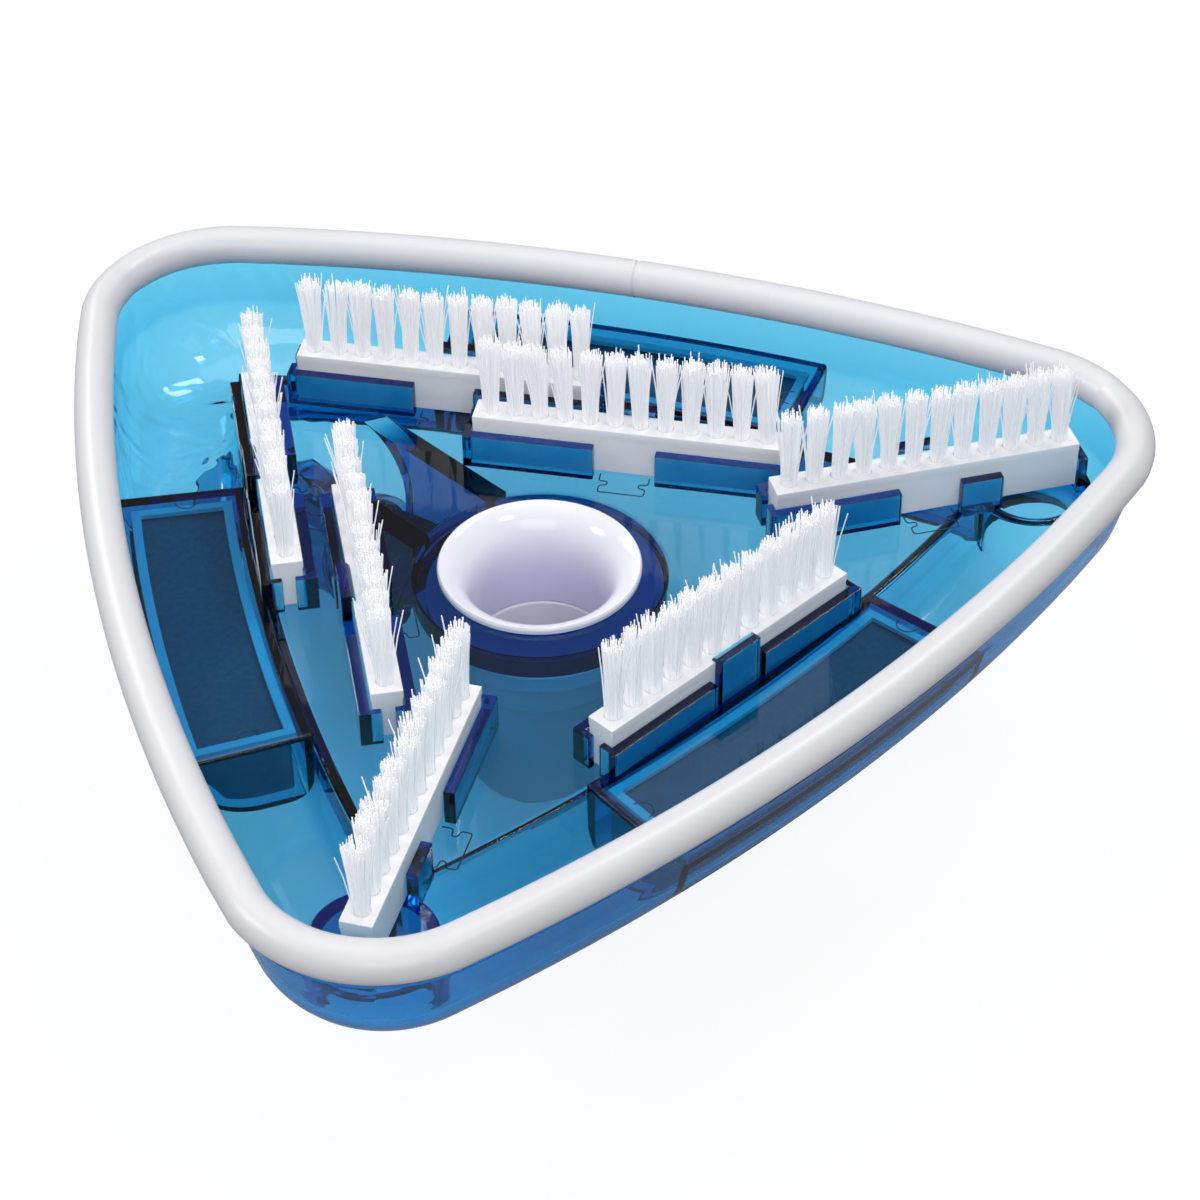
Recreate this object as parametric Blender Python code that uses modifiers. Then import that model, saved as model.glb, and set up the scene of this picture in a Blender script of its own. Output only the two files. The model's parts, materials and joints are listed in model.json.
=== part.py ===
"""Weighted triangular pool vacuum head, lying on its back with its brushes up.

The hub axis is vertical.  Heights are counted from the deck, the flat plate that carries the
brushes, and everything is parented to an empty where the hub axis meets the deck.
"""
import math

import bmesh
import bpy
from mathutils import Matrix, Vector

MM = 0.001
GAP = 0.3 * MM                    # clearance between pieces that touch

# Outline: three bowed sides and three round corners, measured to the bumper's centre line.
MID_RADIUS = 104 * MM             # hub axis to the middle of a side
SIDE_RADIUS = 545 * MM            # bow of a side
CORNER_RADIUS = 33 * MM

# Shell
WALL = 2.5 * MM
RIM_TOP = 18.3 * MM               # top of the wall, inside the bumper
GRIP_HEIGHT = 6.8 * MM            # upright part of the wall, under the bumper
WALL_DRAFT = 2.75 * MM            # how far the wall leans in below that
GUTTER_DEPTH = 16.5 * MM          # deck down to the gutter's floor
GUTTER_ROUND = 21 * MM            # outside rounding between wall and gutter floor
DECK_INSET = 35.6 * MM            # bumper centre line to the deck's edge
STEP_DRAFT = 0.8 * MM             # lean of the step between deck and gutter
CORNER_STEPS = 4                  # facets of half a corner
SIDE_STEPS = 6                    # facets of half a side
ROUND_STEPS = 5

# Bumper
BUMPER_RADIUS = 5 * MM
BUMPER_HEIGHT = 17.1 * MM         # its centre above the deck
BUMPER_LIP_DEG = 62               # where the round section stops, below the horizontal
BUMPER_STEPS = 10

# Hub and swivelling hose port
HUB_BORE = 20 * MM
HUB_RADIUS = HUB_BORE + 11.5 * MM
HUB_DEPTH = 10 * MM
FLARE_RADIUS = HUB_BORE + 5.5 * MM
FLARE_HEIGHT = 1.9 * MM
SEAT_RADIUS = HUB_BORE + 4 * MM    # countersink in the deck that the flare sits in
SEAT_DEPTH = 4 * MM
FLARE_DEPTH = 9 * MM              # deck down to where the flare has become the bore
THROAT_WALL = 2.4 * MM
SLEEVE_DEPTH = 25 * MM            # deck down to the throat's lower end
NOZZLE_RADIUS = 19.05 * MM        # fits a 38 mm hose cuff
NOZZLE_WALL = 2.2 * MM
NOZZLE_DEPTH = 64 * MM            # deck down to the nozzle's end
COLLAR_RADIUS = HUB_BORE + 8.5 * MM
COLLAR_THICK = 4.5 * MM
SOCKET_WALL = 3 * MM
SEAL_THICK = 2 * MM
TURN_STEPS = 28
QUARTER_STEPS = 5

# Weight chambers, one in the middle of each side
CHAMBER_HALF = 52 * MM            # half length along the side
CHAMBER_INSET = 36.1 * MM         # bumper centre line to the chamber's inner side
CHAMBER_TOP = 3 * MM
CHAMBER_WALL = 2.5 * MM
COVER_SEAM = 8 * MM               # below the deck, on the outside of the wall
WEIGHT_MARGIN = 2.5 * MM          # round the weight, inside its chamber
WEIGHT_HEADROOM = 2 * MM
WEIGHT_FOOT_DEG = 62              # the weight rests on the cover as far as this, below level
WEIGHT_FLANK_DEG = (45, 20)       # and its flank follows the wall between these
CHAMBER_STEPS = 7

# Brushes
STRIP_LENGTH = 80 * MM
STRIP_WIDTH = 7.8 * MM
STRIP_TOP = 13.7 * MM
STRIP_GROOVE = 4.8 * MM
STRIP_WEB = 4.4 * MM              # solid under the groove
TUFTS = 12
TUFT_PITCH = 6.5 * MM
TUFT_ROOT = 1.9 * MM
TUFT_TIP = 2.7 * MM
TUFT_HEIGHT = 21 * MM
TUFT_SIDES = 8
SIDE_BRUSH_SKEW = math.radians(4.5)
OUTER_BRUSH = (9.3 * MM, -41.9 * MM)    # inside the deck's edge, along the side
INNER_BRUSH = (23.1 * MM, 10.6 * MM)
FRONT_BRUSH_INSET = STRIP_WIDTH / 2 + 2.5 * MM
CORNER_BRUSH_INSET = 53.5 * MM    # bumper apex to the middle of a corner brush

# Brush holders
HOLDER_WALL = 2.8 * MM
HOLDER_END = 1.8 * MM             # wall across the end of a strip
HOLDER_TOP = 9.5 * MM
HOLDER_GAP = 16 * MM              # opening in the middle of each long wall
HOLDER_LIP = 2.6 * MM             # how far the ends wrap round the strip
CLIP_LENGTH = 13 * MM
CLIP_THICK = 2.5 * MM
CLIP_OVERHANG = 1.1 * MM
CLIP_NOSE = 1.5 * MM
SHORT_WALL = 11 * MM              # wall of a corner brush past the deck's point
BOSS_RADIUS = 15 * MM             # corner platform under the end of a corner brush
BOSS_INSET = 23.5 * MM            # bumper apex to the platform's centre
TAB_WIDTH = 8 * MM
TAB_TOP = 8.5 * MM

# Handle bracket
EAR_INNER = 9.7 * MM              # hub plane to the inner face of an ear
EAR_THICK = 6.5 * MM
EAR_TIP = 12 * MM
EAR_FILLET = 16 * MM
PIVOT_FORWARD = 50 * MM           # hub axis to the pivot
PIVOT_DEPTH = 30 * MM             # deck down to the pivot
PIN_RADIUS = 3 * MM
PIN_HEAD = 5.5 * MM
PIN_HEAD_THICK = 2.5 * MM
NUT_THICK = 3.5 * MM

# Pole handle
TONGUE_RADIUS = 9.5 * MM
HANDLE_LENGTH = 78 * MM           # pivot to the handle's end
HANDLE_RADIUS = 14 * MM           # fits inside a 32 mm telescopic pole
HANDLE_WALL = 2.5 * MM
HANDLE_START = 14 * MM            # pivot to the start of the round part
HANDLE_FLOOR = 4 * MM
STOP_RADIUS = HANDLE_RADIUS + 2 * MM  # collar that the pole comes up against
STOP_THICK = 3 * MM
BUTTON_STATION = 52 * MM          # pivot to the buttons
BUTTON_RADIUS = 3.1 * MM
BUTTON_REACH = 4.2 * MM           # how far a button stands out of the handle
BUTTON_FLANGE = 4.6 * MM
BUTTON_FLANGE_THICK = 1.4 * MM
BUTTON_FLANGE_X = 9.8 * MM
SPRING_THICK = 0.8 * MM
SPRING_WIDTH = 8 * MM
SPRING_BEND = 2.4 * MM
SPRING_START = 24 * MM            # pivot to the bend
PIN_STEPS = 20

FLOOR_BELOW = GUTTER_DEPTH + WALL
SIDE_CENTRE = SIDE_RADIUS - MID_RADIUS
CORNER_REACH = SIDE_RADIUS - CORNER_RADIUS
CORNER_CENTRE = (math.sqrt(4 * CORNER_REACH ** 2 - 3 * SIDE_CENTRE ** 2) - SIDE_CENTRE) / 2
APEX = CORNER_CENTRE + CORNER_RADIUS
ROUND_INSET = WALL_DRAFT - WALL / 2 + GUTTER_ROUND
ROUND_HEIGHT = GUTTER_ROUND - FLOOR_BELOW
PIVOT_OVER_FLOOR = NOZZLE_DEPTH - PIVOT_DEPTH - GAP
HANDLE_DROOP = (math.asin(PIVOT_OVER_FLOOR / math.hypot(HANDLE_LENGTH, HANDLE_RADIUS))
                - math.atan(HANDLE_RADIUS / HANDLE_LENGTH))
CORNER_ANGLES = [math.radians(a) for a in (90, 210, 330)]
SIDE_ANGLES = [math.radians(a) for a in (30, 150, 270)]
SIDE_VIEW = Matrix(((0, 0, 1, 0), (1, 0, 0, 0), (0, 1, 0, 0), (0, 0, 0, 1)))   # flat (x, y) stood up as (y, z)
ACROSS = Matrix.Rotation(math.pi / 2, 4, "Y")                                # z laid along x

COLOURS = {
    "blue": ((0.02, 0.24, 0.52, 1), 0.12, 0.0),
    "cover_blue": ((0.02, 0.20, 0.45, 1), 0.15, 0.0),
    "white_vinyl": ((0.80, 0.80, 0.81, 1), 0.4, 0.0),
    "white_plastic": ((0.84, 0.84, 0.88, 1), 0.25, 0.0),
    "white_bristle": ((0.88, 0.88, 0.90, 1), 0.5, 0.0),
    "iron": ((0.03, 0.05, 0.08, 1), 0.6, 0.9),
    "grey_silicone": ((0.4, 0.45, 0.53, 1), 0.6, 0.0),
    "steel": ((0.6, 0.6, 0.62, 1), 0.25, 1.0),
}


def outline_reach(angle, inset):
    """Hub axis to the outline moved inwards by inset, in the direction of angle."""
    third = 2 * math.pi / 3
    fold = abs((angle - CORNER_ANGLES[0] + third / 2) % third - third / 2)
    ray = Vector((math.cos(fold), math.sin(fold)))
    side_centre = -SIDE_CENTRE * Vector((0.5, math.sqrt(0.75)))
    along = ray.dot(side_centre)
    side = along + math.sqrt(along ** 2 - SIDE_CENTRE ** 2 + (SIDE_RADIUS - inset) ** 2)
    radius = CORNER_RADIUS - inset
    if radius <= 0:
        return side
    corner_centre = Vector((CORNER_CENTRE, 0))
    tangent = corner_centre + radius * (corner_centre - side_centre).normalized()
    if fold >= math.atan2(tangent.y, tangent.x):
        return side
    along = ray.x * CORNER_CENTRE
    return along + math.sqrt(max(0.0, along ** 2 - CORNER_CENTRE ** 2 + radius ** 2))


def outline_angles():
    """Directions of the outline's points: close together on the corners, wide on the sides."""
    side_centre = -SIDE_CENTRE * Vector((0.5, math.sqrt(0.75)))
    sweep = math.atan2(-side_centre.y, CORNER_CENTRE - side_centre.x)
    folds = []
    for step in range(CORNER_STEPS + 1):
        turn = sweep * step / CORNER_STEPS
        folds.append(math.atan2(CORNER_RADIUS * math.sin(turn),
                                CORNER_CENTRE + CORNER_RADIUS * math.cos(turn)))
    start, end = folds[-1], math.pi / 3
    folds += [start + (end - start) * step / SIDE_STEPS for step in range(1, SIDE_STEPS + 1)]
    angles = []
    for corner in CORNER_ANGLES:
        angles += [corner + fold for fold in folds]
        angles += [corner + 2 * math.pi / 3 - fold for fold in folds[-2:0:-1]]
    return angles


def outline_ring(inset, height):
    return [(math.cos(a) * outline_reach(a, inset), math.sin(a) * outline_reach(a, inset), height)
            for a in outline_angles()]


def round_ring(radius, height):
    return [(math.cos(a) * radius, math.sin(a) * radius, height) for a in outline_angles()]


def gutter_arc(radius, start_deg, end_deg, steps):
    """Points (inset, height) on the rounding between the wall and the gutter's floor."""
    turns = [math.radians(start_deg + (end_deg - start_deg) * i / steps) for i in range(steps + 1)]
    return [(ROUND_INSET - radius * math.cos(t), ROUND_HEIGHT - radius * math.sin(t)) for t in turns]


def make_material(name):
    colour, roughness, metallic = COLOURS[name]
    material = bpy.data.materials.new(name)
    material.use_nodes = True
    shader = material.node_tree.nodes["Principled BSDF"]
    shader.inputs["Base Color"].default_value = colour
    shader.inputs["Roughness"].default_value = roughness
    shader.inputs["Metallic"].default_value = metallic
    material.diffuse_color = colour
    return material


class Builder:
    """Holds the two collections and the materials, and turns meshes into placed objects."""

    def __init__(self):
        self.parts = bpy.data.collections.new("pool_vacuum_head")
        self.cutters = bpy.data.collections.new("cutters")
        for collection in (self.parts, self.cutters):
            bpy.context.scene.collection.children.link(collection)
        self.materials = {name: make_material(name) for name in COLOURS}

    def empty(self, name, location, parent=None, tilt=0.0):
        obj = bpy.data.objects.new(name, None)
        obj.empty_display_size = 0.02
        obj.location = location
        obj.rotation_euler = (tilt, 0, 0)
        obj.parent = parent
        self.parts.objects.link(obj)
        return obj

    def add(self, name, mesh, material, parent, smooth_deg=None):
        obj = bpy.data.objects.new(name, mesh)
        mesh.materials.append(self.materials[material])
        obj.parent = parent
        self.parts.objects.link(obj)
        if smooth_deg is not None:
            mesh.shade_smooth()
            mesh.set_sharp_from_angle(angle=math.radians(smooth_deg))
        return obj

    def cutter(self, name, mesh, parent):
        obj = bpy.data.objects.new(name, mesh)
        obj.parent = parent
        obj.hide_render = True
        obj.display_type = "WIRE"
        self.cutters.objects.link(obj)
        return obj

    def combine(self, target, tool, operation):
        modifier = target.modifiers.new(tool.name, "BOOLEAN")
        modifier.operation = operation
        modifier.solver = "EXACT"
        modifier.object = tool


def finish_mesh(bm, name):
    bmesh.ops.recalc_face_normals(bm, faces=bm.faces)
    mesh = bpy.data.meshes.new(name)
    bm.to_mesh(mesh)
    bm.free()
    return mesh


def ring_mesh(name, rings, capped=False):
    """A skin through rings of equal point count, joined end to start or capped at both ends."""
    bm = bmesh.new()
    loops = [[bm.verts.new(point) for point in ring] for ring in rings]
    if capped:
        bm.faces.new(loops[0])
        bm.faces.new(loops[-1])
    for loop, following in zip(loops, loops[1:] if capped else loops[1:] + loops[:1]):
        for i in range(len(loop)):
            j = (i + 1) % len(loop)
            bm.faces.new((loop[i], loop[j], following[j], following[i]))
    return finish_mesh(bm, name)


def prism_mesh(name, outlines, low, high, matrix=None):
    """Flat outlines (x, y) made into separate prisms between two heights."""
    bm = bmesh.new()
    for outline in outlines:
        face = bm.faces.new([bm.verts.new((x, y, low)) for x, y in outline])
        top = bmesh.ops.extrude_face_region(bm, geom=[face])["geom"]
        bmesh.ops.translate(bm, vec=(0, 0, high - low),
                            verts=[v for v in top if isinstance(v, bmesh.types.BMVert)])
    if matrix is not None:
        bmesh.ops.transform(bm, matrix=matrix, verts=bm.verts)
    return finish_mesh(bm, name)


def side_sweep_mesh(name, section, half_length, side_angle):
    """A section of (inset, height) points carried along the middle of one bowed side."""
    bm = bmesh.new()
    half_turn = half_length / SIDE_RADIUS
    centre = Matrix.Rotation(side_angle, 4, "Z") @ Vector((-SIDE_CENTRE, 0, 0))
    start = Matrix.Translation(centre) @ Matrix.Rotation(side_angle - half_turn, 4, "Z")
    face = bm.faces.new([bm.verts.new(start @ Vector((SIDE_RADIUS - inset, 0, height)))
                         for inset, height in section])
    geometry = [face] + list(face.edges) + list(face.verts)
    bmesh.ops.spin(bm, geom=geometry, cent=centre, axis=(0, 0, 1), angle=2 * half_turn,
                   steps=CHAMBER_STEPS, use_duplicate=False)
    return finish_mesh(bm, name)


def cylinder_mesh(name, radius, low, high, steps, matrix=None, tip_radius=None):
    """A cylinder or cone along z between two heights, moved by matrix."""
    bm = bmesh.new()
    placed = Matrix.Translation((0, 0, (low + high) / 2))
    bmesh.ops.create_cone(bm, cap_ends=True, segments=steps, radius1=radius,
                          radius2=radius if tip_radius is None else tip_radius,
                          depth=high - low, matrix=placed)
    if matrix is not None:
        bmesh.ops.transform(bm, matrix=matrix, verts=bm.verts)
    return finish_mesh(bm, name)


def box_outline(x0, x1, y0, y1):
    return [(x0, y0), (x1, y0), (x1, y1), (x0, y1)]


def turned(builder, name, profile, material, parent, steps=TURN_STEPS):
    """A profile of (radius, height) points, top to bottom down the outside, turned round z.

    A profile that starts and ends on the axis makes a solid piece, any other one a ring.
    """
    mesh = bpy.data.meshes.new(name)
    count = len(profile)
    on_axis = profile[0][0] == 0 and profile[-1][0] == 0
    edges = [(i, (i + 1) % count) for i in range(count - on_axis)]
    mesh.from_pydata([(r, 0, z) for r, z in profile], edges, [])
    obj = builder.add(name, mesh, material, parent)
    screw = obj.modifiers.new("turn", "SCREW")
    screw.steps = steps
    screw.render_steps = steps
    screw.merge_threshold = 0.00001
    screw.use_merge_vertices = True
    screw.use_smooth_shade = False
    return obj


def bearing_matrix(angle, x, y):
    return Matrix.Translation((x, y, 0)) @ Matrix.Rotation(angle, 4, "Z")


def brush_places():
    """Name, matrix and outward end of each brush; +y of a brush faces its clip."""
    deck_middle = MID_RADIUS - DECK_INSET
    side = SIDE_ANGLES[0]
    places = {}
    for label, (inset, station) in (("outer", OUTER_BRUSH), ("inner", INNER_BRUSH)):
        reach = deck_middle - inset
        x = math.cos(side) * reach + math.sin(side) * station
        y = math.sin(side) * reach - math.cos(side) * station
        turn = side - math.pi / 2 + SIDE_BRUSH_SKEW
        places[label + "_right"] = (bearing_matrix(turn, x, y), 0)
        places[label + "_left"] = (bearing_matrix(-turn, -x, y), 0)
    places["front"] = (bearing_matrix(math.pi, 0, FRONT_BRUSH_INSET - deck_middle), 0)
    reach = APEX - CORNER_BRUSH_INSET
    x, y = math.cos(CORNER_ANGLES[2]) * reach, math.sin(CORNER_ANGLES[2]) * reach
    places["corner_right"] = (bearing_matrix(CORNER_ANGLES[2], x, y), 1)
    places["corner_left"] = (bearing_matrix(-CORNER_ANGLES[2], -x, y), -1)
    return places


def shell_rings():
    """Rings of the shell's skin: down the outside, under the deck, up the hub and back inside."""
    rings = [outline_ring(-WALL / 2, RIM_TOP), outline_ring(-WALL / 2, RIM_TOP - GRIP_HEIGHT)]
    rings += [outline_ring(*point) for point in gutter_arc(GUTTER_ROUND, 0, 90, ROUND_STEPS)]
    rings += [
        outline_ring(DECK_INSET + WALL, -FLOOR_BELOW),
        outline_ring(DECK_INSET + WALL, -WALL),
        round_ring(HUB_RADIUS, -WALL),
        round_ring(HUB_RADIUS, -HUB_DEPTH),
        round_ring(HUB_BORE, -HUB_DEPTH),
        round_ring(HUB_BORE, -SEAT_DEPTH),
        round_ring(SEAT_RADIUS, 0),
        outline_ring(DECK_INSET, 0),
        outline_ring(DECK_INSET - STEP_DRAFT, -GUTTER_DEPTH),
    ]
    rings += [outline_ring(*point) for point in gutter_arc(GUTTER_ROUND - WALL, 90, 0, ROUND_STEPS)]
    rings += [outline_ring(WALL / 2, RIM_TOP - GRIP_HEIGHT), outline_ring(WALL / 2, RIM_TOP)]
    return rings


def seam_angle(radius, depth):
    """Degrees round the gutter's rounding, from level, where it is this deep below the deck."""
    return math.degrees(math.asin((ROUND_HEIGHT + depth) / radius))


def chamber_sections():
    """Outlines of a weight chamber's body, its hollow, the cover and the weight."""
    middle = GUTTER_ROUND - WALL / 2
    inner = GUTTER_ROUND - WALL
    hollow_in = CHAMBER_INSET - CHAMBER_WALL
    roof = CHAMBER_TOP - CHAMBER_WALL
    body = [(CHAMBER_INSET, CHAMBER_TOP), (CHAMBER_INSET, WALL / 2 - FLOOR_BELOW)]
    body += gutter_arc(middle, 90, 0, ROUND_STEPS)
    body += [(ROUND_INSET - middle, CHAMBER_TOP)]
    lip = gutter_arc(inner - GAP, seam_angle(inner, COVER_SEAM), 0, 2)
    below = -FLOOR_BELOW - WALL
    outside = -2 * WALL
    hollow = [(hollow_in, roof), (hollow_in, below), (outside, below), (outside, -COVER_SEAM)]
    hollow += [point for point in lip if point[1] <= roof]
    hollow += [(lip[-1][0], roof)]
    seam = COVER_SEAM + GAP
    cover = [(hollow_in - GAP, -GUTTER_DEPTH), (hollow_in - GAP, -FLOOR_BELOW)]
    cover += gutter_arc(GUTTER_ROUND, 90, seam_angle(GUTTER_ROUND, seam), ROUND_STEPS)
    cover += gutter_arc(inner, seam_angle(inner, seam), 90, ROUND_STEPS)
    weight_in = hollow_in - WEIGHT_MARGIN
    weight_low = GUTTER_DEPTH - GAP
    weight_round = inner - WEIGHT_MARGIN
    weight = [(weight_in, roof - WEIGHT_HEADROOM), (weight_in, -weight_low)]
    weight += gutter_arc(inner - GAP, 90, WEIGHT_FOOT_DEG, 2)
    weight += gutter_arc(weight_round, *WEIGHT_FLANK_DEG, 2)
    weight += [(ROUND_INSET - weight_round, roof - WEIGHT_HEADROOM)]
    return body, hollow, cover, weight


def holder_outlines(outward):
    """Footprints of the four wall pieces round a strip; outward is the end past the deck."""
    inner = STRIP_WIDTH / 2 + GAP
    outer = inner + HOLDER_WALL
    start = HOLDER_GAP / 2
    stop = STRIP_LENGTH / 2 + GAP
    end = stop + HOLDER_END
    lip = inner - HOLDER_LIP
    outlines = []
    for end_sign in (-1, 1):
        for side_sign in (-1, 1):
            if end_sign == outward:
                points = box_outline(start, start + SHORT_WALL, inner, outer)
            else:
                points = [(start, inner), (stop, inner), (stop, lip), (end, lip), (end, outer), (start, outer)]
            outlines.append([(x * end_sign, y * side_sign) for x, y in points])
    return outlines


def ear_outline():
    """Side view (forward, height) of a bracket ear: filleted foot, straight front, round tip."""
    front = PIVOT_FORWARD + EAR_TIP
    foot = -WALL / 2
    fillet_y, fillet_z = front + EAR_FILLET, -WALL - EAR_FILLET
    turns = [math.radians(90 + 90 * i / QUARTER_STEPS) for i in range(QUARTER_STEPS + 1)]
    points = [(HUB_RADIUS - WALL, foot), (fillet_y, foot)]
    points += [(fillet_y + EAR_FILLET * math.cos(t), fillet_z + EAR_FILLET * math.sin(t)) for t in turns]
    turns = [math.radians(-90 * i / QUARTER_STEPS) for i in range(2 * QUARTER_STEPS + 1)]
    points += [(PIVOT_FORWARD + EAR_TIP * math.cos(t), EAR_TIP * math.sin(t) - PIVOT_DEPTH) for t in turns]
    points += [(HUB_RADIUS - WALL, WALL - HUB_DEPTH)]
    return points


def add_body(builder, hub):
    """The moulded blue shell: dish, hub, chambers, brush holders, corner bosses and bracket."""
    shell = builder.add("body_shell", ring_mesh("body_shell", shell_rings()), "blue", hub, 35)
    chamber, hollow, _, _ = chamber_sections()
    for index, angle in enumerate(SIDE_ANGLES):
        tool = builder.cutter(f"chamber_{index}", side_sweep_mesh("chamber", chamber, CHAMBER_HALF, angle), hub)
        builder.combine(shell, tool, "UNION")
    for index, angle in enumerate(SIDE_ANGLES):
        mesh = side_sweep_mesh("hollow", hollow, CHAMBER_HALF - CHAMBER_WALL, angle)
        builder.combine(shell, builder.cutter(f"hollow_{index}", mesh, hub), "DIFFERENCE")
    add_corner_bosses(builder, shell, hub)
    add_holders(builder, shell, hub)
    add_bracket(builder, shell, hub)
    return shell


def add_corner_bosses(builder, shell, hub):
    """Platforms under the outer ends of the corner brushes, trimmed to the middle of the wall."""
    middle = GUTTER_ROUND - WALL / 2
    rings = [outline_ring(ROUND_INSET - middle, CHAMBER_TOP)]
    rings += [outline_ring(*point) for point in gutter_arc(middle, 0, 90, ROUND_STEPS)]
    inside = builder.cutter("shell_inside", ring_mesh("inside", rings, capped=True), hub)
    for index, angle in enumerate(CORNER_ANGLES[1:]):
        reach = APEX - BOSS_INSET
        place = Matrix.Translation((math.cos(angle) * reach, math.sin(angle) * reach, 0))
        mesh = cylinder_mesh("boss", BOSS_RADIUS, -FLOOR_BELOW - WALL, -GAP, PIN_STEPS, place)
        boss = builder.cutter(f"corner_boss_{index}", mesh, hub)
        builder.combine(boss, inside, "INTERSECT")
        builder.combine(shell, boss, "UNION")


def add_holders(builder, shell, hub):
    low = -WALL / 2
    clip_in = STRIP_WIDTH / 2 + GAP
    clip_out = clip_in + CLIP_THICK
    nose_low = STRIP_TOP + GAP
    for name, (place, outward) in brush_places().items():
        walls = prism_mesh("holder", holder_outlines(outward), low, HOLDER_TOP, place)
        builder.combine(shell, builder.cutter(f"holder_{name}", walls, hub), "UNION")
        section = [(clip_in, low), (clip_out, low), (clip_out, nose_low + CLIP_NOSE),
                   (clip_in - CLIP_OVERHANG, nose_low + CLIP_NOSE),
                   (clip_in - CLIP_OVERHANG, nose_low), (clip_in, nose_low)]
        clip = prism_mesh("clip", [section], -CLIP_LENGTH / 2, CLIP_LENGTH / 2, place @ SIDE_VIEW)
        builder.combine(shell, builder.cutter(f"clip_{name}", clip, hub), "UNION")
        if outward:
            near = STRIP_LENGTH / 2 + GAP
            ends = sorted((outward * near, outward * (near + CLIP_THICK)))
            tab_outline = box_outline(*ends, -TAB_WIDTH / 2, TAB_WIDTH / 2)
            tab = prism_mesh("tab", [tab_outline], low - WALL, TAB_TOP, place)
            builder.combine(shell, builder.cutter(f"tab_{name}", tab, hub), "UNION")


def add_bracket(builder, shell, hub):
    for label, sign in (("left", -1), ("right", 1)):
        faces = sorted((sign * EAR_INNER, sign * (EAR_INNER + EAR_THICK)))
        ear = prism_mesh("ear", [ear_outline()], *faces, SIDE_VIEW)
        builder.combine(shell, builder.cutter(f"ear_{label}", ear, hub), "UNION")
    reach = EAR_INNER + EAR_THICK + WALL
    place = Matrix.Translation((0, PIVOT_FORWARD, -PIVOT_DEPTH)) @ ACROSS
    hole = cylinder_mesh("pin_hole", PIN_RADIUS + GAP, -reach, reach, PIN_STEPS, place)
    builder.combine(shell, builder.cutter("pin_hole", hole, hub), "DIFFERENCE")


def add_bumper(builder, hub):
    """White vinyl edging: a round section with a slot that grips the rim."""
    start = math.radians(-BUMPER_LIP_DEG)
    sweep = math.pi - 2 * start
    turns = [start + sweep * i / BUMPER_STEPS for i in range(BUMPER_STEPS + 1)]
    slot = WALL / 2 + GAP
    low = BUMPER_HEIGHT + BUMPER_RADIUS * math.sin(start)
    section = [(BUMPER_RADIUS * math.cos(t), BUMPER_HEIGHT + BUMPER_RADIUS * math.sin(t)) for t in turns]
    section += [(-slot, low), (-slot, RIM_TOP + GAP), (slot, RIM_TOP + GAP), (slot, low)]
    rings = [outline_ring(inset, height) for inset, height in section]
    builder.add("bumper", ring_mesh("bumper", rings), "white_vinyl", hub, 40)


def add_weights(builder, hub):
    _, _, cover, weight = chamber_sections()
    names = ("right", "left", "front")
    for name, angle in zip(names, SIDE_ANGLES):
        half = CHAMBER_HALF - CHAMBER_WALL - GAP
        mesh = side_sweep_mesh(f"weight_cover_{name}", cover, half, angle)
        builder.add(f"weight_cover_{name}", mesh, "cover_blue", hub, 30)
        half = CHAMBER_HALF - CHAMBER_WALL - WEIGHT_MARGIN
        mesh = side_sweep_mesh(f"weight_{name}", weight, half, angle)
        builder.add(f"weight_{name}", mesh, "iron", hub, 30)


def strip_section():
    half, groove = STRIP_WIDTH / 2, STRIP_GROOVE / 2
    floor = GAP + STRIP_WEB
    return [(-half, GAP), (half, GAP), (half, STRIP_TOP), (groove, STRIP_TOP),
            (groove, floor), (-groove, floor), (-groove, STRIP_TOP), (-half, STRIP_TOP)]


def add_brushes(builder, hub):
    """Seven carriers, each with a bristle row: a back bar in the carrier's groove and its tufts."""
    half = STRIP_LENGTH / 2
    tuft = cylinder_mesh("tuft", TUFT_ROOT, STRIP_TOP - TUFT_ROOT, STRIP_TOP + TUFT_HEIGHT,
                         TUFT_SIDES, tip_radius=TUFT_TIP)
    tufts = bmesh.new()
    for index in range(TUFTS):
        first = len(tufts.verts)
        tufts.from_mesh(tuft)
        tufts.verts.ensure_lookup_table()
        bmesh.ops.translate(tufts, vec=((index - (TUFTS - 1) / 2) * TUFT_PITCH, 0, 0), verts=tufts.verts[first:])
    bpy.data.meshes.remove(tuft)
    tuft_row = finish_mesh(tufts, "tuft_row")
    bar_half = STRIP_GROOVE / 2 - GAP
    bar = box_outline(-half + GAP, half - GAP, -bar_half, bar_half)
    for name, (place, _) in brush_places().items():
        strip = prism_mesh(f"brush_strip_{name}", [strip_section()], -half, half, SIDE_VIEW)
        carrier = builder.add(f"brush_strip_{name}", strip, "white_plastic", hub)
        back = prism_mesh(f"bristles_{name}", [bar], GAP + STRIP_WEB + GAP, STRIP_TOP)
        bristles = builder.add(f"bristles_{name}", back, "white_bristle", hub)
        tool = builder.cutter(f"tufts_{name}", tuft_row, hub)
        for obj in (carrier, bristles, tool):
            obj.location = place.to_translation()
            obj.rotation_euler = place.to_euler()
        builder.combine(bristles, tool, "UNION")


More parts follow.
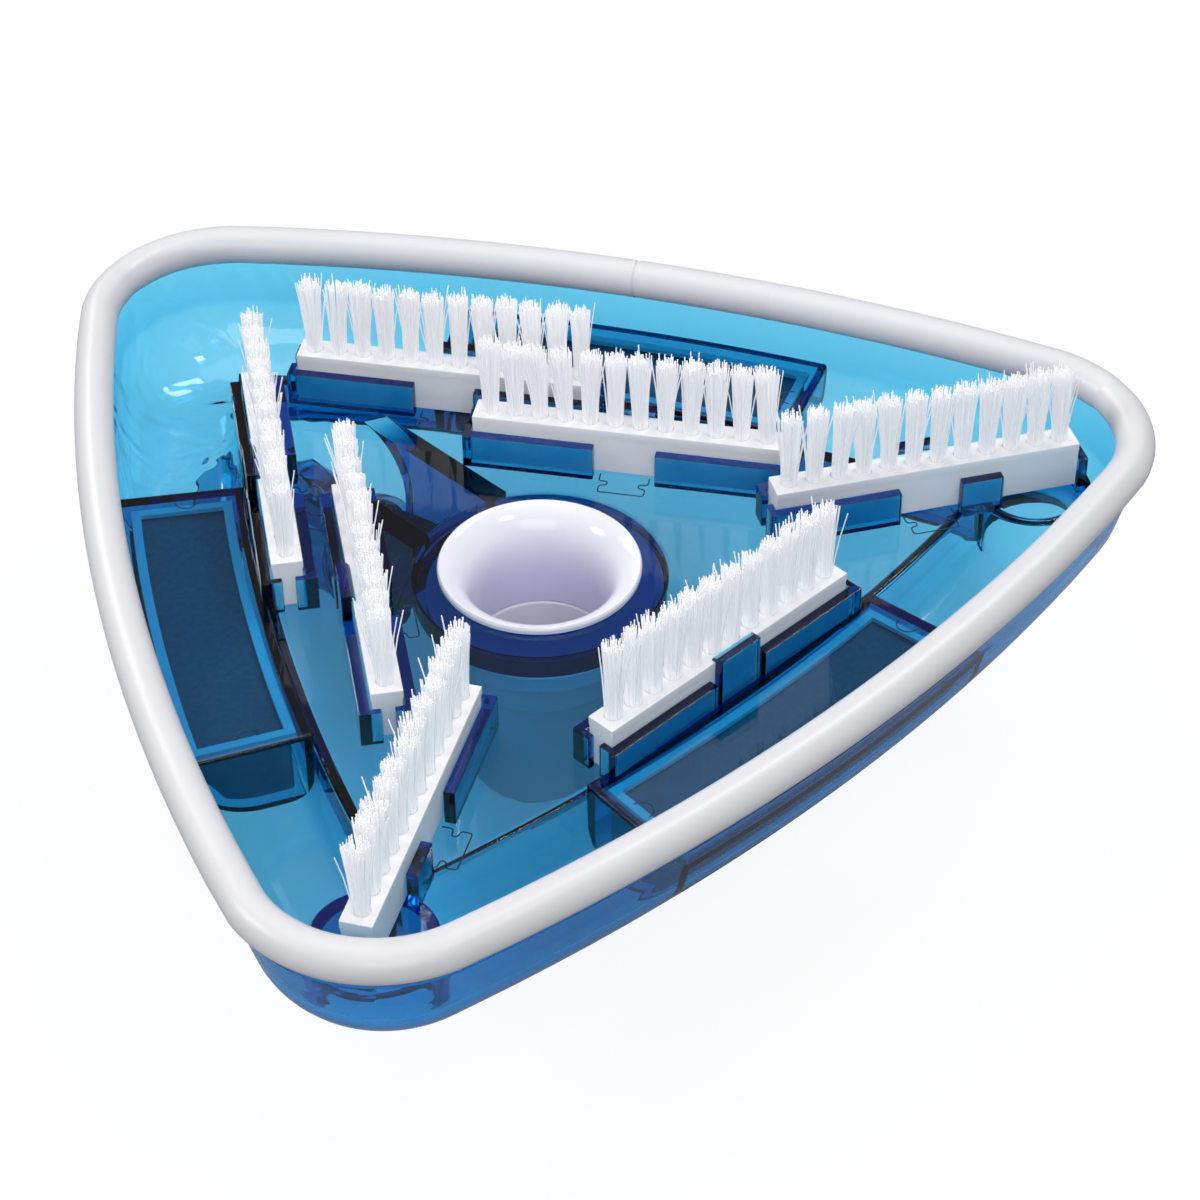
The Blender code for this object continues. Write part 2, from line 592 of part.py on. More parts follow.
def add_hose_port(builder, hub):
    """White throat and hose nozzle, which turn together round the hub, and the seal under it."""
    swivel = builder.empty("swivel_axis", (0, 0, 0), hub)
    sleeve = HUB_BORE - GAP
    bore = sleeve - THROAT_WALL
    lip = FLARE_RADIUS - THROAT_WALL / 2
    turns = [math.radians(90 * i / QUARTER_STEPS) for i in range(QUARTER_STEPS + 1)]
    flare = [(lip - (lip - bore) * math.sin(t), FLARE_HEIGHT - (FLARE_HEIGHT + FLARE_DEPTH) * (1 - math.cos(t)))
             for t in turns]
    throat = [(FLARE_RADIUS, FLARE_HEIGHT - THROAT_WALL / 4), (FLARE_RADIUS, GAP), (SEAT_RADIUS - GAP, GAP),
              (sleeve, GAP - SEAT_DEPTH), (sleeve, -SLEEVE_DEPTH), (bore, -SLEEVE_DEPTH)]
    turned(builder, "hub_throat", throat + flare[::-1], "white_plastic", swivel)
    seal_top = -HUB_DEPTH - GAP
    collar_top = seal_top - SEAL_THICK - GAP
    collar_low = collar_top - COLLAR_THICK
    socket = HUB_BORE + SOCKET_WALL
    socket_low = -SLEEVE_DEPTH - GAP
    seal = [(COLLAR_RADIUS, seal_top), (COLLAR_RADIUS, seal_top - SEAL_THICK),
            (HUB_BORE, seal_top - SEAL_THICK), (HUB_BORE, seal_top)]
    turned(builder, "swivel_seal", seal, "grey_silicone", hub)
    end = -NOZZLE_DEPTH
    inside = NOZZLE_RADIUS - NOZZLE_WALL
    nozzle = [(COLLAR_RADIUS, collar_top), (COLLAR_RADIUS, collar_low), (socket, collar_low - MM),
              (socket, socket_low - SOCKET_WALL), (NOZZLE_RADIUS, socket_low - 2 * SOCKET_WALL),
              (NOZZLE_RADIUS, end + NOZZLE_WALL), (NOZZLE_RADIUS - NOZZLE_WALL / 4, end),
              (inside, end), (inside, socket_low), (HUB_BORE, socket_low), (HUB_BORE, collar_top)]
    turned(builder, "hose_nozzle", nozzle, "white_plastic", swivel)


def add_pivot(builder, hub):
    """Steel pin through the ears with a head on one side and a nut on the other."""
    pivot = builder.empty("pivot_axis", (0, PIVOT_FORWARD, -PIVOT_DEPTH), hub)
    face = EAR_INNER + EAR_THICK + GAP
    shaft_end = face + NUT_THICK + GAP
    head = cylinder_mesh("pivot_pin", PIN_HEAD, -face - PIN_HEAD_THICK, -face, PIN_STEPS, ACROSS)
    pin = builder.add("pivot_pin", head, "steel", pivot, 40)
    shaft = cylinder_mesh("shaft", PIN_RADIUS, -face - PIN_HEAD_THICK / 2, shaft_end, PIN_STEPS, ACROSS)
    builder.combine(pin, builder.cutter("pin_shaft", shaft, pivot), "UNION")
    nut_mesh = cylinder_mesh("pivot_nut", PIN_HEAD, face, face + NUT_THICK, 6, ACROSS)
    nut = builder.add("pivot_nut", nut_mesh, "steel", pivot)
    bore = cylinder_mesh("bore", PIN_RADIUS + GAP, face - WALL, face + NUT_THICK + WALL, PIN_STEPS, ACROSS)
    builder.combine(nut, builder.cutter("nut_bore", bore, pivot), "DIFFERENCE")


def add_handle(builder, hub):
    """Pole handle on the bracket's pivot, folded towards the rear corner."""
    axis = builder.empty("handle_axis", (0, PIVOT_FORWARD, -PIVOT_DEPTH), hub, -HANDLE_DROOP)
    inside = HANDLE_RADIUS - HANDLE_WALL
    edge = HANDLE_WALL / 3
    floor = HANDLE_START + HANDLE_FLOOR
    stop = HANDLE_START + STOP_THICK
    profile = [(0, floor), (inside, floor), (inside, HANDLE_LENGTH), (HANDLE_RADIUS - edge, HANDLE_LENGTH),
               (HANDLE_RADIUS, HANDLE_LENGTH - edge), (HANDLE_RADIUS, stop), (STOP_RADIUS, stop),
               (STOP_RADIUS, HANDLE_START + edge), (STOP_RADIUS - edge, HANDLE_START), (0, HANDLE_START)]
    handle = turned(builder, "pole_handle", profile, "blue", axis)
    handle.rotation_euler = (-math.pi / 2, 0, 0)
    turns = [math.radians(90 + 90 * i / QUARTER_STEPS) for i in range(2 * QUARTER_STEPS + 1)]
    tongue = [(TONGUE_RADIUS * math.cos(t), TONGUE_RADIUS * math.sin(t)) for t in turns]
    root = HANDLE_START + HANDLE_FLOOR / 2
    tongue += [(root, -TONGUE_RADIUS), (root, TONGUE_RADIUS)]
    half = EAR_INNER - GAP
    mesh = prism_mesh("tongue", [tongue], -half, half, SIDE_VIEW)
    builder.combine(handle, builder.cutter("handle_tongue", mesh, axis), "UNION")
    hole = cylinder_mesh("hole", PIN_RADIUS + GAP, -half - WALL, half + WALL, PIN_STEPS, ACROSS)
    builder.combine(handle, builder.cutter("handle_pin_hole", hole, axis), "DIFFERENCE")
    station = Matrix.Translation((0, BUTTON_STATION, 0)) @ ACROSS
    reach = STOP_RADIUS + WALL
    hole = cylinder_mesh("hole", BUTTON_RADIUS + GAP, -reach, reach, PIN_STEPS, station)
    builder.combine(handle, builder.cutter("button_holes", hole, axis), "DIFFERENCE")
    add_snap_buttons(builder, axis)


def add_snap_buttons(builder, axis):
    """Two steel buttons and the V spring between them, inside the handle."""
    tip = HANDLE_RADIUS + BUTTON_REACH
    back = BUTTON_FLANGE_X - BUTTON_FLANGE_THICK
    edge = BUTTON_RADIUS / 3
    profile = [(0, tip), (BUTTON_RADIUS - edge, tip), (BUTTON_RADIUS, tip - edge),
               (BUTTON_RADIUS, BUTTON_FLANGE_X), (BUTTON_FLANGE, BUTTON_FLANGE_X),
               (BUTTON_FLANGE, back), (0, back)]
    for label, sign in (("left", -1), ("right", 1)):
        button = turned(builder, f"snap_button_{label}", profile, "steel", axis, PIN_STEPS)
        button.location = (0, BUTTON_STATION, 0)
        button.rotation_euler = (0, sign * math.pi / 2, 0)
    target = Vector((back - GAP, BUTTON_STATION + BUTTON_FLANGE - SPRING_START))
    spread = math.atan2(target.x, target.y) - math.asin(SPRING_BEND / target.length)
    arm = math.sqrt(target.length ** 2 - SPRING_BEND ** 2)
    along = Vector((math.sin(spread), math.cos(spread)))
    turns = [-spread - (math.pi - 2 * spread) * i / 8 for i in range(9)]
    outline = []
    for radius, order in ((SPRING_BEND, 1), (SPRING_BEND - SPRING_THICK, -1)):
        bend = [Vector((radius * math.cos(t), radius * math.sin(t))) for t in turns]
        path = [bend[0] + along * arm] + bend + [Vector((-along.x, along.y)) * arm + bend[-1]]
        outline += [(p.x, p.y + SPRING_START) for p in path[::order]]
    mesh = prism_mesh("clip_spring", [outline], -SPRING_WIDTH / 2, SPRING_WIDTH / 2)
    builder.add("clip_spring", mesh, "steel", axis, 40)


def main():
    for obj in list(bpy.data.objects):
        bpy.data.objects.remove(obj)
    builder = Builder()
    hub = builder.empty("hub_axis", (0, -(APEX - MID_RADIUS) / 2, NOZZLE_DEPTH))
    add_body(builder, hub)
    add_bumper(builder, hub)
    add_weights(builder, hub)
    add_brushes(builder, hub)
    add_hose_port(builder, hub)
    add_pivot(builder, hub)
    add_handle(builder, hub)


main()
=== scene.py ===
"""Looks of a weighted triangular pool vacuum head that lies on its back on a white table.

Every piece is built round the hub axis, with heights counted from the deck that carries the
brushes, and is then set down on the CAD frame's own hub.
"""

import json
import logging
import math
import random
from dataclasses import dataclass, field
from enum import Enum

import bmesh
import bpy
from mathutils import Matrix, Vector

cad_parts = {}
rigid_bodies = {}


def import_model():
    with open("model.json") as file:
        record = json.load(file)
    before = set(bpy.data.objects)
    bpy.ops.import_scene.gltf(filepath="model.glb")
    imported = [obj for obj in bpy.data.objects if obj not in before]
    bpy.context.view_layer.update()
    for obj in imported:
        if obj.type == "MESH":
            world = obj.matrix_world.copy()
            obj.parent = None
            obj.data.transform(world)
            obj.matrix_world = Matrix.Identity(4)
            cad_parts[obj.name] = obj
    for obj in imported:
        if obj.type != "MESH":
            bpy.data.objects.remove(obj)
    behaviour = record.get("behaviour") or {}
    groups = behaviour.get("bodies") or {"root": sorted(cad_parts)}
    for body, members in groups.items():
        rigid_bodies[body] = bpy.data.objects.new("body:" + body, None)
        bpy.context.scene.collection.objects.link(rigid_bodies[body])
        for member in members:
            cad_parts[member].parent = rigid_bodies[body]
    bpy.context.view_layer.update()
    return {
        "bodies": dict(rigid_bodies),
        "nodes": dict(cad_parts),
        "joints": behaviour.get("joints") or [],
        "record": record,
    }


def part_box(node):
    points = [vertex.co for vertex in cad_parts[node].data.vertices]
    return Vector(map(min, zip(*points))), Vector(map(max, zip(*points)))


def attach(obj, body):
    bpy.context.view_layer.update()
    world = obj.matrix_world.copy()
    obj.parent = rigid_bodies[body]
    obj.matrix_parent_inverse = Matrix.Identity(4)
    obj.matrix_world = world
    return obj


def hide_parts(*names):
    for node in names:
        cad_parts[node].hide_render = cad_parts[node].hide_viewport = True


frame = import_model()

MM = 0.001
GAP = 0.3 * MM
UP_TO_DECK = 64 * MM
FACETED_EDGE = math.radians(35)     # an edge sharper than this gets a radius
STRAIGHT = math.radians(172)        # a corner flatter than this stays as it is
ON_AXIS = 1e-9                      # a radius this small is a point on the axis
SIDE_VIEW = Matrix(((0, 0, 1, 0), (1, 0, 0, 0), (0, 1, 0, 0), (0, 0, 0, 1)))
ACROSS = Matrix.Rotation(math.pi / 2, 4, "Y")
LOG = logging.getLogger("pool_vacuum_head")

Point = tuple[float, float]
Ring = list[Vector]


class Cut(Enum):
    """How a tool shape works on a piece."""

    JOIN = "UNION"
    REMOVE = "DIFFERENCE"
    KEEP_INSIDE = "INTERSECT"


class Body(Enum):
    """The rigid bodies of the frame."""

    HEAD = "head"
    HOSE_PORT = "hose_port"
    HANDLE = "handle"
    BUTTON_LEFT = "button_left"
    BUTTON_RIGHT = "button_right"


# ---------------------------------------------------------------------------------- finishes


def srgb(colour: str) -> tuple[float, float, float, float]:
    """Turns an sRGB hex colour into linear values.

    Args:
        colour: Six hex digits.

    Returns:
        Linear red, green, blue and an alpha of one.
    """
    values = [int(colour[i:i + 2], 16) / 255 for i in (0, 2, 4)]
    linear = [v / 12.92 if v <= 0.04045 else ((v + 0.055) / 1.055) ** 2.4 for v in values]
    return (*linear, 1.0)


def add_node(tree: bpy.types.NodeTree, kind: str, settings: dict | None = None,
             links: dict | None = None) -> bpy.types.Node:
    """Adds one node with its settings and links.

    Args:
        tree: The node tree.
        kind: The node's type name.
        settings: Values for inputs or properties, by name or input number.
        links: Output sockets to join to inputs, by name or input number.

    Returns:
        The node.
    """
    node = tree.nodes.new(kind)
    for name, value in (settings or {}).items():
        if isinstance(name, str) and hasattr(node, name):
            setattr(node, name, value)
        else:
            node.inputs[name].default_value = value
    for name, socket in (links or {}).items():
        tree.links.new(socket, node.inputs[name])
    return node


@dataclass(frozen=True)
class Finish:
    """What a finish starts from: one Principled shader with a fine relief from noise."""

    name: str
    colour: str
    roughness: float
    relief_size: float
    relief_height: float
    mottle: float = 0.04

    def build(self) -> bpy.types.Material:
        """Makes the material.

        Returns:
            The material, with its own nodes.
        """
        material = bpy.data.materials.new(self.name)
        material.use_nodes = True
        tree = material.node_tree
        shader = tree.nodes["Principled BSDF"]
        shader.inputs["Base Color"].default_value = srgb(self.colour)
        shader.inputs["Roughness"].default_value = self.roughness
        place = add_node(tree, "ShaderNodeTexCoord").outputs["Object"]
        self.dress(tree, shader, place)
        return material

    def relief(self, tree: bpy.types.NodeTree, shader: bpy.types.Node, place: bpy.types.NodeSocket,
               stretch: tuple[float, float, float] = (1, 1, 1)) -> bpy.types.Node:
        """Gives the surface a fine relief.

        Args:
            tree: The material's nodes.
            shader: The surface's shader.
            place: Coordinates in metres.
            stretch: How much finer the pattern is along each direction.

        Returns:
            The noise node.
        """
        scaled = add_node(tree, "ShaderNodeVectorMath", {"operation": "MULTIPLY", 1: stretch},
                          {0: place})
        noise = add_node(tree, "ShaderNodeTexNoise", {"Scale": 1 / self.relief_size, "Detail": 3.0},
                         {"Vector": scaled.outputs[0]})
        bump = add_node(tree, "ShaderNodeBump", {"Distance": self.relief_height, "Strength": 1.0},
                        {"Height": noise.outputs["Fac"]})
        tree.links.new(bump.outputs["Normal"], shader.inputs["Normal"])
        return noise

    def vary_roughness(self, tree: bpy.types.NodeTree, shader: bpy.types.Node,
                       noise: bpy.types.Node) -> None:
        """Lets the roughness drift a little with the noise."""
        drift = add_node(tree, "ShaderNodeMapRange",
                         {"To Min": self.roughness * (1 - 4 * self.mottle),
                          "To Max": self.roughness * (1 + 4 * self.mottle)},
                         {"Value": noise.outputs["Fac"]})
        tree.links.new(drift.outputs["Result"], shader.inputs["Roughness"])

    def vary_colour(self, tree: bpy.types.NodeTree, shader: bpy.types.Node,
                    noise: bpy.types.Node) -> None:
        """Lets the colour drift a little with the noise."""
        base = srgb(self.colour)
        dark = tuple(v * (1 - self.mottle) for v in base[:3]) + (1.0,)
        mix = add_node(tree, "ShaderNodeMix", {"data_type": "RGBA"}, {0: noise.outputs["Fac"]})
        mix.inputs[6].default_value = base
        mix.inputs[7].default_value = dark
        tree.links.new(mix.outputs[2], shader.inputs["Base Color"])

    def dress(self, tree: bpy.types.NodeTree, shader: bpy.types.Node,
              place: bpy.types.NodeSocket) -> None:
        """Adds what this finish has beyond its plain colour."""
        noise = self.relief(tree, shader, place)
        self.vary_roughness(tree, shader, noise)
        self.vary_colour(tree, shader, noise)


@dataclass(frozen=True)
class TintedStyrene(Finish):
    """Clear tinted styrene, injection moulded in a polished tool: sky blue where one wall is in the
    way, deep blue where walls stand on edge, with slow flow ripples in its gloss."""

    tint: str = "00D9F0"
    depth: float = 740.0
    bend: float = 1.5
    swirl_centre: tuple[float, float, float] = (-6 * MM, 136 * MM, -12 * MM)
    swirl_reach: float = 62 * MM
    swirl_size: float = 26 * MM
    swirl_height: float = 1.1 * MM
    swirl_heart: float = 0.3
    swirl_twist: float = 2.2
    lets_through: float = 0.92

    def dress(self, tree: bpy.types.NodeTree, shader: bpy.types.Node,
              place: bpy.types.NodeSocket) -> None:
        """Adds the ripples, the tint inside the wall, and light that passes on to what is behind."""
        noise = self.relief(tree, shader, place)
        self.vary_roughness(tree, shader, noise)
        away = add_node(tree, "ShaderNodeVectorMath",
                        {"operation": "DISTANCE", 1: self.swirl_centre}, {0: place})
        near = add_node(tree, "ShaderNodeMapRange",
                        {"interpolation_type": "SMOOTHSTEP", "From Min": self.swirl_reach,
                         "From Max": self.swirl_heart * self.swirl_reach},
                        {"Value": away.outputs["Value"]})
        swirl = add_node(tree, "ShaderNodeTexNoise",
                         {"Scale": 1 / self.swirl_size, "Detail": 1.0, "Distortion": self.swirl_twist},
                         {"Vector": place})
        height = add_node(tree, "ShaderNodeMath", {"operation": "MULTIPLY"},
                          {0: near.outputs["Result"], 1: swirl.outputs["Fac"]})
        fine = shader.inputs["Normal"].links[0].from_socket
        bump = add_node(tree, "ShaderNodeBump", {"Distance": self.swirl_height, "Strength": 1.0},
                        {"Height": height.outputs[0], "Normal": fine})
        tree.links.new(bump.outputs["Normal"], shader.inputs["Normal"])
        shader.inputs["IOR"].default_value = self.bend
        shader.inputs["Transmission Weight"].default_value = 1.0
        output = tree.nodes["Material Output"]
        ray = add_node(tree, "ShaderNodeLightPath")
        through = add_node(tree, "ShaderNodeBsdfTransparent", {"Color": (*[self.lets_through] * 3, 1)})
        mix = add_node(tree, "ShaderNodeMixShader", {},
                       {0: ray.outputs["Is Shadow Ray"], 1: shader.outputs[0], 2: through.outputs[0]})
        tree.links.new(mix.outputs[0], output.inputs["Surface"])
        inside = add_node(tree, "ShaderNodeVolumeAbsorption",
                          {"Color": srgb(self.tint), "Density": self.depth})
        tree.links.new(inside.outputs[0], output.inputs["Volume"])


@dataclass(frozen=True)
class ShadedAbs(Finish):
    """White ABS with painted shade: paper white at the lip, and a painted lavender shade deeper
    down, which stands in for the dim, blue-tinted light inside the bore."""

    # Painted shade: the lavender that the bore turns to deeper down, between the two heights below.
    deep: str = "DAD7F2"
    start: float = -2 * MM
    end: float = -16 * MM

    def dress(self, tree: bpy.types.NodeTree, shader: bpy.types.Node,
              place: bpy.types.NodeSocket) -> None:
        """Adds the polish and the painted shade that deepens with depth."""
        noise = self.relief(tree, shader, place)
        self.vary_roughness(tree, shader, noise)
        height = add_node(tree, "ShaderNodeSeparateXYZ", {}, {0: place}).outputs["Z"]
        # Painted shade: the colour runs from white to the lavender shade as the bore goes down.
        depth = add_node(tree, "ShaderNodeMapRange", {"From Min": self.start, "From Max": self.end},
                         {"Value": height})
        mix = add_node(tree, "ShaderNodeMix", {"data_type": "RGBA"}, {0: depth.outputs["Result"]})
        mix.inputs[6].default_value = srgb(self.colour)
        mix.inputs[7].default_value = srgb(self.deep)
        tree.links.new(mix.outputs[2], shader.inputs["Base Color"])


@dataclass(frozen=True)
class DrawnNylon(Finish):
    """Drawn nylon filament: milky white, with a soft sheen along each thread and a painted glow, though
    it is no lamp.
    """

    # Painted light: emission strength that makes the threads glow.
    painted_glow: float = 0.13

    def dress(self, tree: bpy.types.NodeTree, shader: bpy.types.Node,
              place: bpy.types.NodeSocket) -> None:
        """Adds a painted glow, an emission that brightens the threads though they are no lamp, and
        their change of tone along the row.
        """
        noise = add_node(tree, "ShaderNodeTexNoise", {"Scale": 1 / self.relief_size, "Detail": 2.0},
                         {"Vector": place})
        self.vary_colour(tree, shader, noise)
        self.vary_roughness(tree, shader, noise)
        # Painted light: the threads give off light of this colour.
        shader.inputs["Emission Color"].default_value = srgb("F4F6FA")
        shader.inputs["Emission Strength"].default_value = self.painted_glow


@dataclass(frozen=True)
class TurnedSteel(Finish):
    """Stainless steel, turned and tumbled: grey metal with fine rings from the tool."""

    def dress(self, tree: bpy.types.NodeTree, shader: bpy.types.Node,
              place: bpy.types.NodeSocket) -> None:
        """Adds the metal and the rings, drawn 0.4 mm apart so that they show."""
        shader.inputs["Metallic"].default_value = 1.0
        noise = self.relief(tree, shader, place, (4, 1, 1))
        self.vary_roughness(tree, shader, noise)


@dataclass(frozen=True)
class WhiteTable(Finish):
    """Matt white laminate: the table that the part stands on, burnt out to white where it is
    seen bare, and painted grey where the pieces mirror it, as a painted darker reflection."""

    burnt_out: float = 0.88
    # Painted reflection: the grey the table shows in reflections only.
    painted_reflection_shade: str = "7C8086"
    spill: float = 0.12

    def dress(self, tree: bpy.types.NodeTree, shader: bpy.types.Node,
              place: bpy.types.NodeSocket) -> None:
        """Adds the white of an overexposed table to what is seen of it past the part, and the painted
        grey of its reflections.
        """
        shader.inputs["Specular IOR Level"].default_value = 0.1
        shader.inputs["Emission Color"].default_value = srgb("FFFFFF")
        shader.inputs["Emission Strength"].default_value = self.spill
        ray = add_node(tree, "ShaderNodeLightPath")
        # Painted reflection: reflection rays see the table grey, not white.
        painted_reflection_shade = add_node(tree, "ShaderNodeMix", {"data_type": "RGBA"},
                            {0: ray.outputs["Is Reflection Ray"]})
        painted_reflection_shade.inputs[6].default_value = srgb(self.colour)
        painted_reflection_shade.inputs[7].default_value = srgb(self.painted_reflection_shade)
        tree.links.new(painted_reflection_shade.outputs[2], shader.inputs["Base Color"])
        white = add_node(tree, "ShaderNodeEmission", {"Color": srgb("FFFFFF"), "Strength": 1.0})
        share = add_node(tree, "ShaderNodeMath", {"operation": "MULTIPLY", 1: self.burnt_out},
                         {0: ray.outputs["Is Camera Ray"]})
        mix = add_node(tree, "ShaderNodeMixShader", {},
                       {0: share.outputs[0], 1: shader.outputs[0], 2: white.outputs[0]})
        tree.links.new(mix.outputs[0], tree.nodes["Material Output"].inputs["Surface"])


@dataclass(frozen=True)
class Palette:
    """The finishes of the head's pieces."""

    # Moulded in a polished tool: ripples 14 mm long, a few hundredths of a millimetre high.
    shell: Finish = TintedStyrene("tinted_styrene_moulded", "FFFFFF", 0.02, 14 * MM, 0.05 * MM, 0.1)
    # The chamber covers are the same styrene from another tool, a little deeper in tint.
    cover: Finish = TintedStyrene("tinted_styrene_cover", "FFFFFF", 0.03, 10 * MM, 0.04 * MM, 0.1,
                                  "00D6EE", 800.0)
    # Insert lines of the mould, where two blocks of the tool met: dark by being steep.
    line: Finish = Finish("tinted_styrene_edge_line", "04304F", 0.25, 1 * MM, 0.005 * MM)
    # Extruded soft vinyl: satin white, faintly wavy along its length.
    vinyl: Finish = Finish("pvc_vinyl_extruded", "DDDDE1", 0.34, 9 * MM, 0.03 * MM, 0.02)
    # ABS moulded in a polished tool: wet-looking cool white.
    tail: Finish = Finish("white_abs_tail", "ECECF4", 0.2, 6 * MM, 0.008 * MM, 0.02)
    # The port's bore is painted with a lavender shade deeper down.
    port: Finish = ShadedAbs("white_abs_painted_shade", "EAEAF3", 0.12, 6 * MM, 0.008 * MM, 0.02)
    # Polypropylene moulded in a satin tool: soft highlights.
    strip: Finish = Finish("white_polypropylene_moulded", "F2F2F5", 0.38, 1.2 * MM, 0.01 * MM, 0.03)
    # The tufts glow with painted light from their emission.
    bristle: Finish = DrawnNylon("nylon_filament_drawn", "FAFAFC", 0.42, 4 * MM, 0.01 * MM, 0.06)
    # Cast iron in a baked coat: dull dark grey with the sand's grain under it.
    weight: Finish = Finish("cast_iron_coated", "5E6670", 0.62, 1.6 * MM, 0.12 * MM, 0.18)
    # Pale matt frame round each weight, with fine cells in its relief: it gives the bright band round
    # the weight.
    pale_band: Finish = Finish("pale_band_matt", "E6E8EA", 0.9, 0.8 * MM, 0.05 * MM, 0.1)
    # Moulded silicone rubber: soft grey, with a painted glow that lights up the ring round the hub.
    seal: Finish = DrawnNylon("silicone_rubber_moulded", "C8E4DC", 0.6, 1 * MM, 0.02 * MM, 0.1, 0.35)
    steel: Finish = TurnedSteel("stainless_steel_turned", "C4C6CA", 0.24, 1.6 * MM, 0.006 * MM, 0.08)
    table: Finish = WhiteTable("white_laminate_table", "F8F8F8", 0.6, 5 * MM, 0.0)


# ------------------------------------------------------------------------------ flat outlines


def rounded(points: list[Point], radius: float, steps: int = 3, closed: bool = True,
            share: float = 0.42) -> list[Point]:
    """Rounds the corners of a flat outline.

    Args:
        points: The outline's corners.
        radius: Radius of the rounding, less where an edge is too short for it.
        steps: Facets of each corner.
        closed: Whether the last point joins the first.
        share: The most that a rounding takes of an edge.

    Returns:
        The rounded outline.
    """
    count = len(points)
    result: list[Point] = []
    for index, point in enumerate(points):
        if not closed and index in (0, count - 1):
            result.append(point)
            continue
        here = Vector(point)
        back = Vector(points[index - 1]) - here
        ahead = Vector(points[(index + 1) % count]) - here
        opening = back.angle(ahead, math.pi)
        if opening > STRAIGHT:
            result.append(point)
            continue
        reach = min(radius / math.tan(opening / 2), share * back.length, share * ahead.length)
        first, last = here + back.normalized() * reach, here + ahead.normalized() * reach
        for step in range(steps + 1):
            t = step / steps
            spot = (1 - t) ** 2 * first + 2 * t * (1 - t) * here + t ** 2 * last
            result.append((spot.x, spot.y))
    return result


def rectangle(x0: float, x1: float, y0: float, y1: float) -> list[Point]:
    """Corners of a rectangle."""
    return [(x0, y0), (x1, y0), (x1, y1), (x0, y1)]


def circle(radius: float, start: float, turn: float, steps: int, centre: Point = (0, 0)) -> list[Point]:
    """Points on an arc.

    Args:
        radius: The arc's radius.
        start: Where it starts, in degrees.
        turn: How far it goes round, in degrees.
        steps: Its facets.
        centre: Its centre.

    Returns:
        The points, both ends included.
    """
    angles = [math.radians(start + turn * i / steps) for i in range(steps + 1)]
    return [(centre[0] + radius * math.cos(a), centre[1] + radius * math.sin(a)) for a in angles]


def bezier(bends: list[Point], steps: int) -> list[Point]:
    """Points on a cubic curve.

    Args:
        bends: Its four control points.
        steps: Its facets.

    Returns:
        The points, both ends included.
    """
    controls = [Vector(bend) for bend in bends]
    points = []
    for step in range(steps + 1):
        t = step / steps
        shares = ((1 - t) ** 3, 3 * t * (1 - t) ** 2, 3 * t ** 2 * (1 - t), t ** 3)
        spot = sum((share * control for share, control in zip(shares, controls)), Vector((0, 0)))
        points.append((spot.x, spot.y))
    return points


@dataclass(frozen=True)
class Outline:
    """The head's plan: three bowed sides and three round corners, at the edging's centre line."""

    middle: float = 104 * MM
    side_radius: float = 545 * MM
    corner_radius: float = 33 * MM
    corner_steps: int = 16
    side_steps: int = 13
    corners: tuple[float, ...] = (math.pi / 2, math.pi * 7 / 6, math.pi * 11 / 6)
    sides: tuple[float, ...] = (math.pi / 6, math.pi * 5 / 6, math.pi * 3 / 2)

    @property
    def side_centre(self) -> float:
        """Hub axis to the centre of a side's bow."""
        return self.side_radius - self.middle

    @property
    def corner_centre(self) -> float:
        """Hub axis to the centre of a corner."""
        reach = self.side_radius - self.corner_radius
        return (math.sqrt(4 * reach ** 2 - 3 * self.side_centre ** 2) - self.side_centre) / 2

    @property
    def apex(self) -> float:
        """Hub axis to the tip of a corner."""
        return self.corner_centre + self.corner_radius

    def reach(self, angle: float, inset: float) -> float:
        """Hub axis to the outline moved inwards, in one direction.

        Args:
            angle: The direction.
            inset: How far the outline is moved inwards.

        Returns:
            The distance.
        """
        third = 2 * math.pi / 3
        fold = abs((angle - self.corners[0] + third / 2) % third - third / 2)
        ray = Vector((math.cos(fold), math.sin(fold)))
        bow = -self.side_centre * Vector((0.5, math.sqrt(0.75)))
        along = ray.dot(bow)
        side = along + math.sqrt(along ** 2 - self.side_centre ** 2 + (self.side_radius - inset) ** 2)
        radius = self.corner_radius - inset
        if radius <= 0:
            return side
        centre = Vector((self.corner_centre, 0))
        tangent = centre + radius * (centre - bow).normalized()
        if fold >= math.atan2(tangent.y, tangent.x):
            return side
        along = ray.x * centre.x
        return along + math.sqrt(max(0.0, along ** 2 - centre.x ** 2 + radius ** 2))

    def angles(self) -> list[float]:
        """Directions of the outline's points, close together on the corners.

        Returns:
            The directions, once round.
        """
        bow = -self.side_centre * Vector((0.5, math.sqrt(0.75)))
        sweep = math.atan2(-bow.y, self.corner_centre - bow.x)
        folds = []
        for step in range(self.corner_steps + 1):
            turn = sweep * step / self.corner_steps
            folds.append(math.atan2(self.corner_radius * math.sin(turn),
                                    self.corner_centre + self.corner_radius * math.cos(turn)))
        start, end = folds[-1], math.pi / 3
        folds += [start + (end - start) * step / self.side_steps
                  for step in range(1, self.side_steps + 1)]
        result = []
        for corner in self.corners:
            result += [corner + fold for fold in folds]
            result += [corner + 2 * math.pi / 3 - fold for fold in folds[-2:0:-1]]
        return result

    def ring(self, inset: float, height: float, angles: list[float] | None = None) -> Ring:
        """The outline moved inwards and up."""
        found = angles or self.angles()
        return [Vector((math.cos(a), math.sin(a), 0)) * self.reach(a, inset) + Vector((0, 0, height))
                for a in found]

    def round_ring(self, radius: float, height: float) -> Ring:
        """A circle with a point in the direction of each of the outline's points."""
        return [Vector((math.cos(a) * radius, math.sin(a) * radius, height)) for a in self.angles()]


# --------------------------------------------------------------------------------- mesh shapes


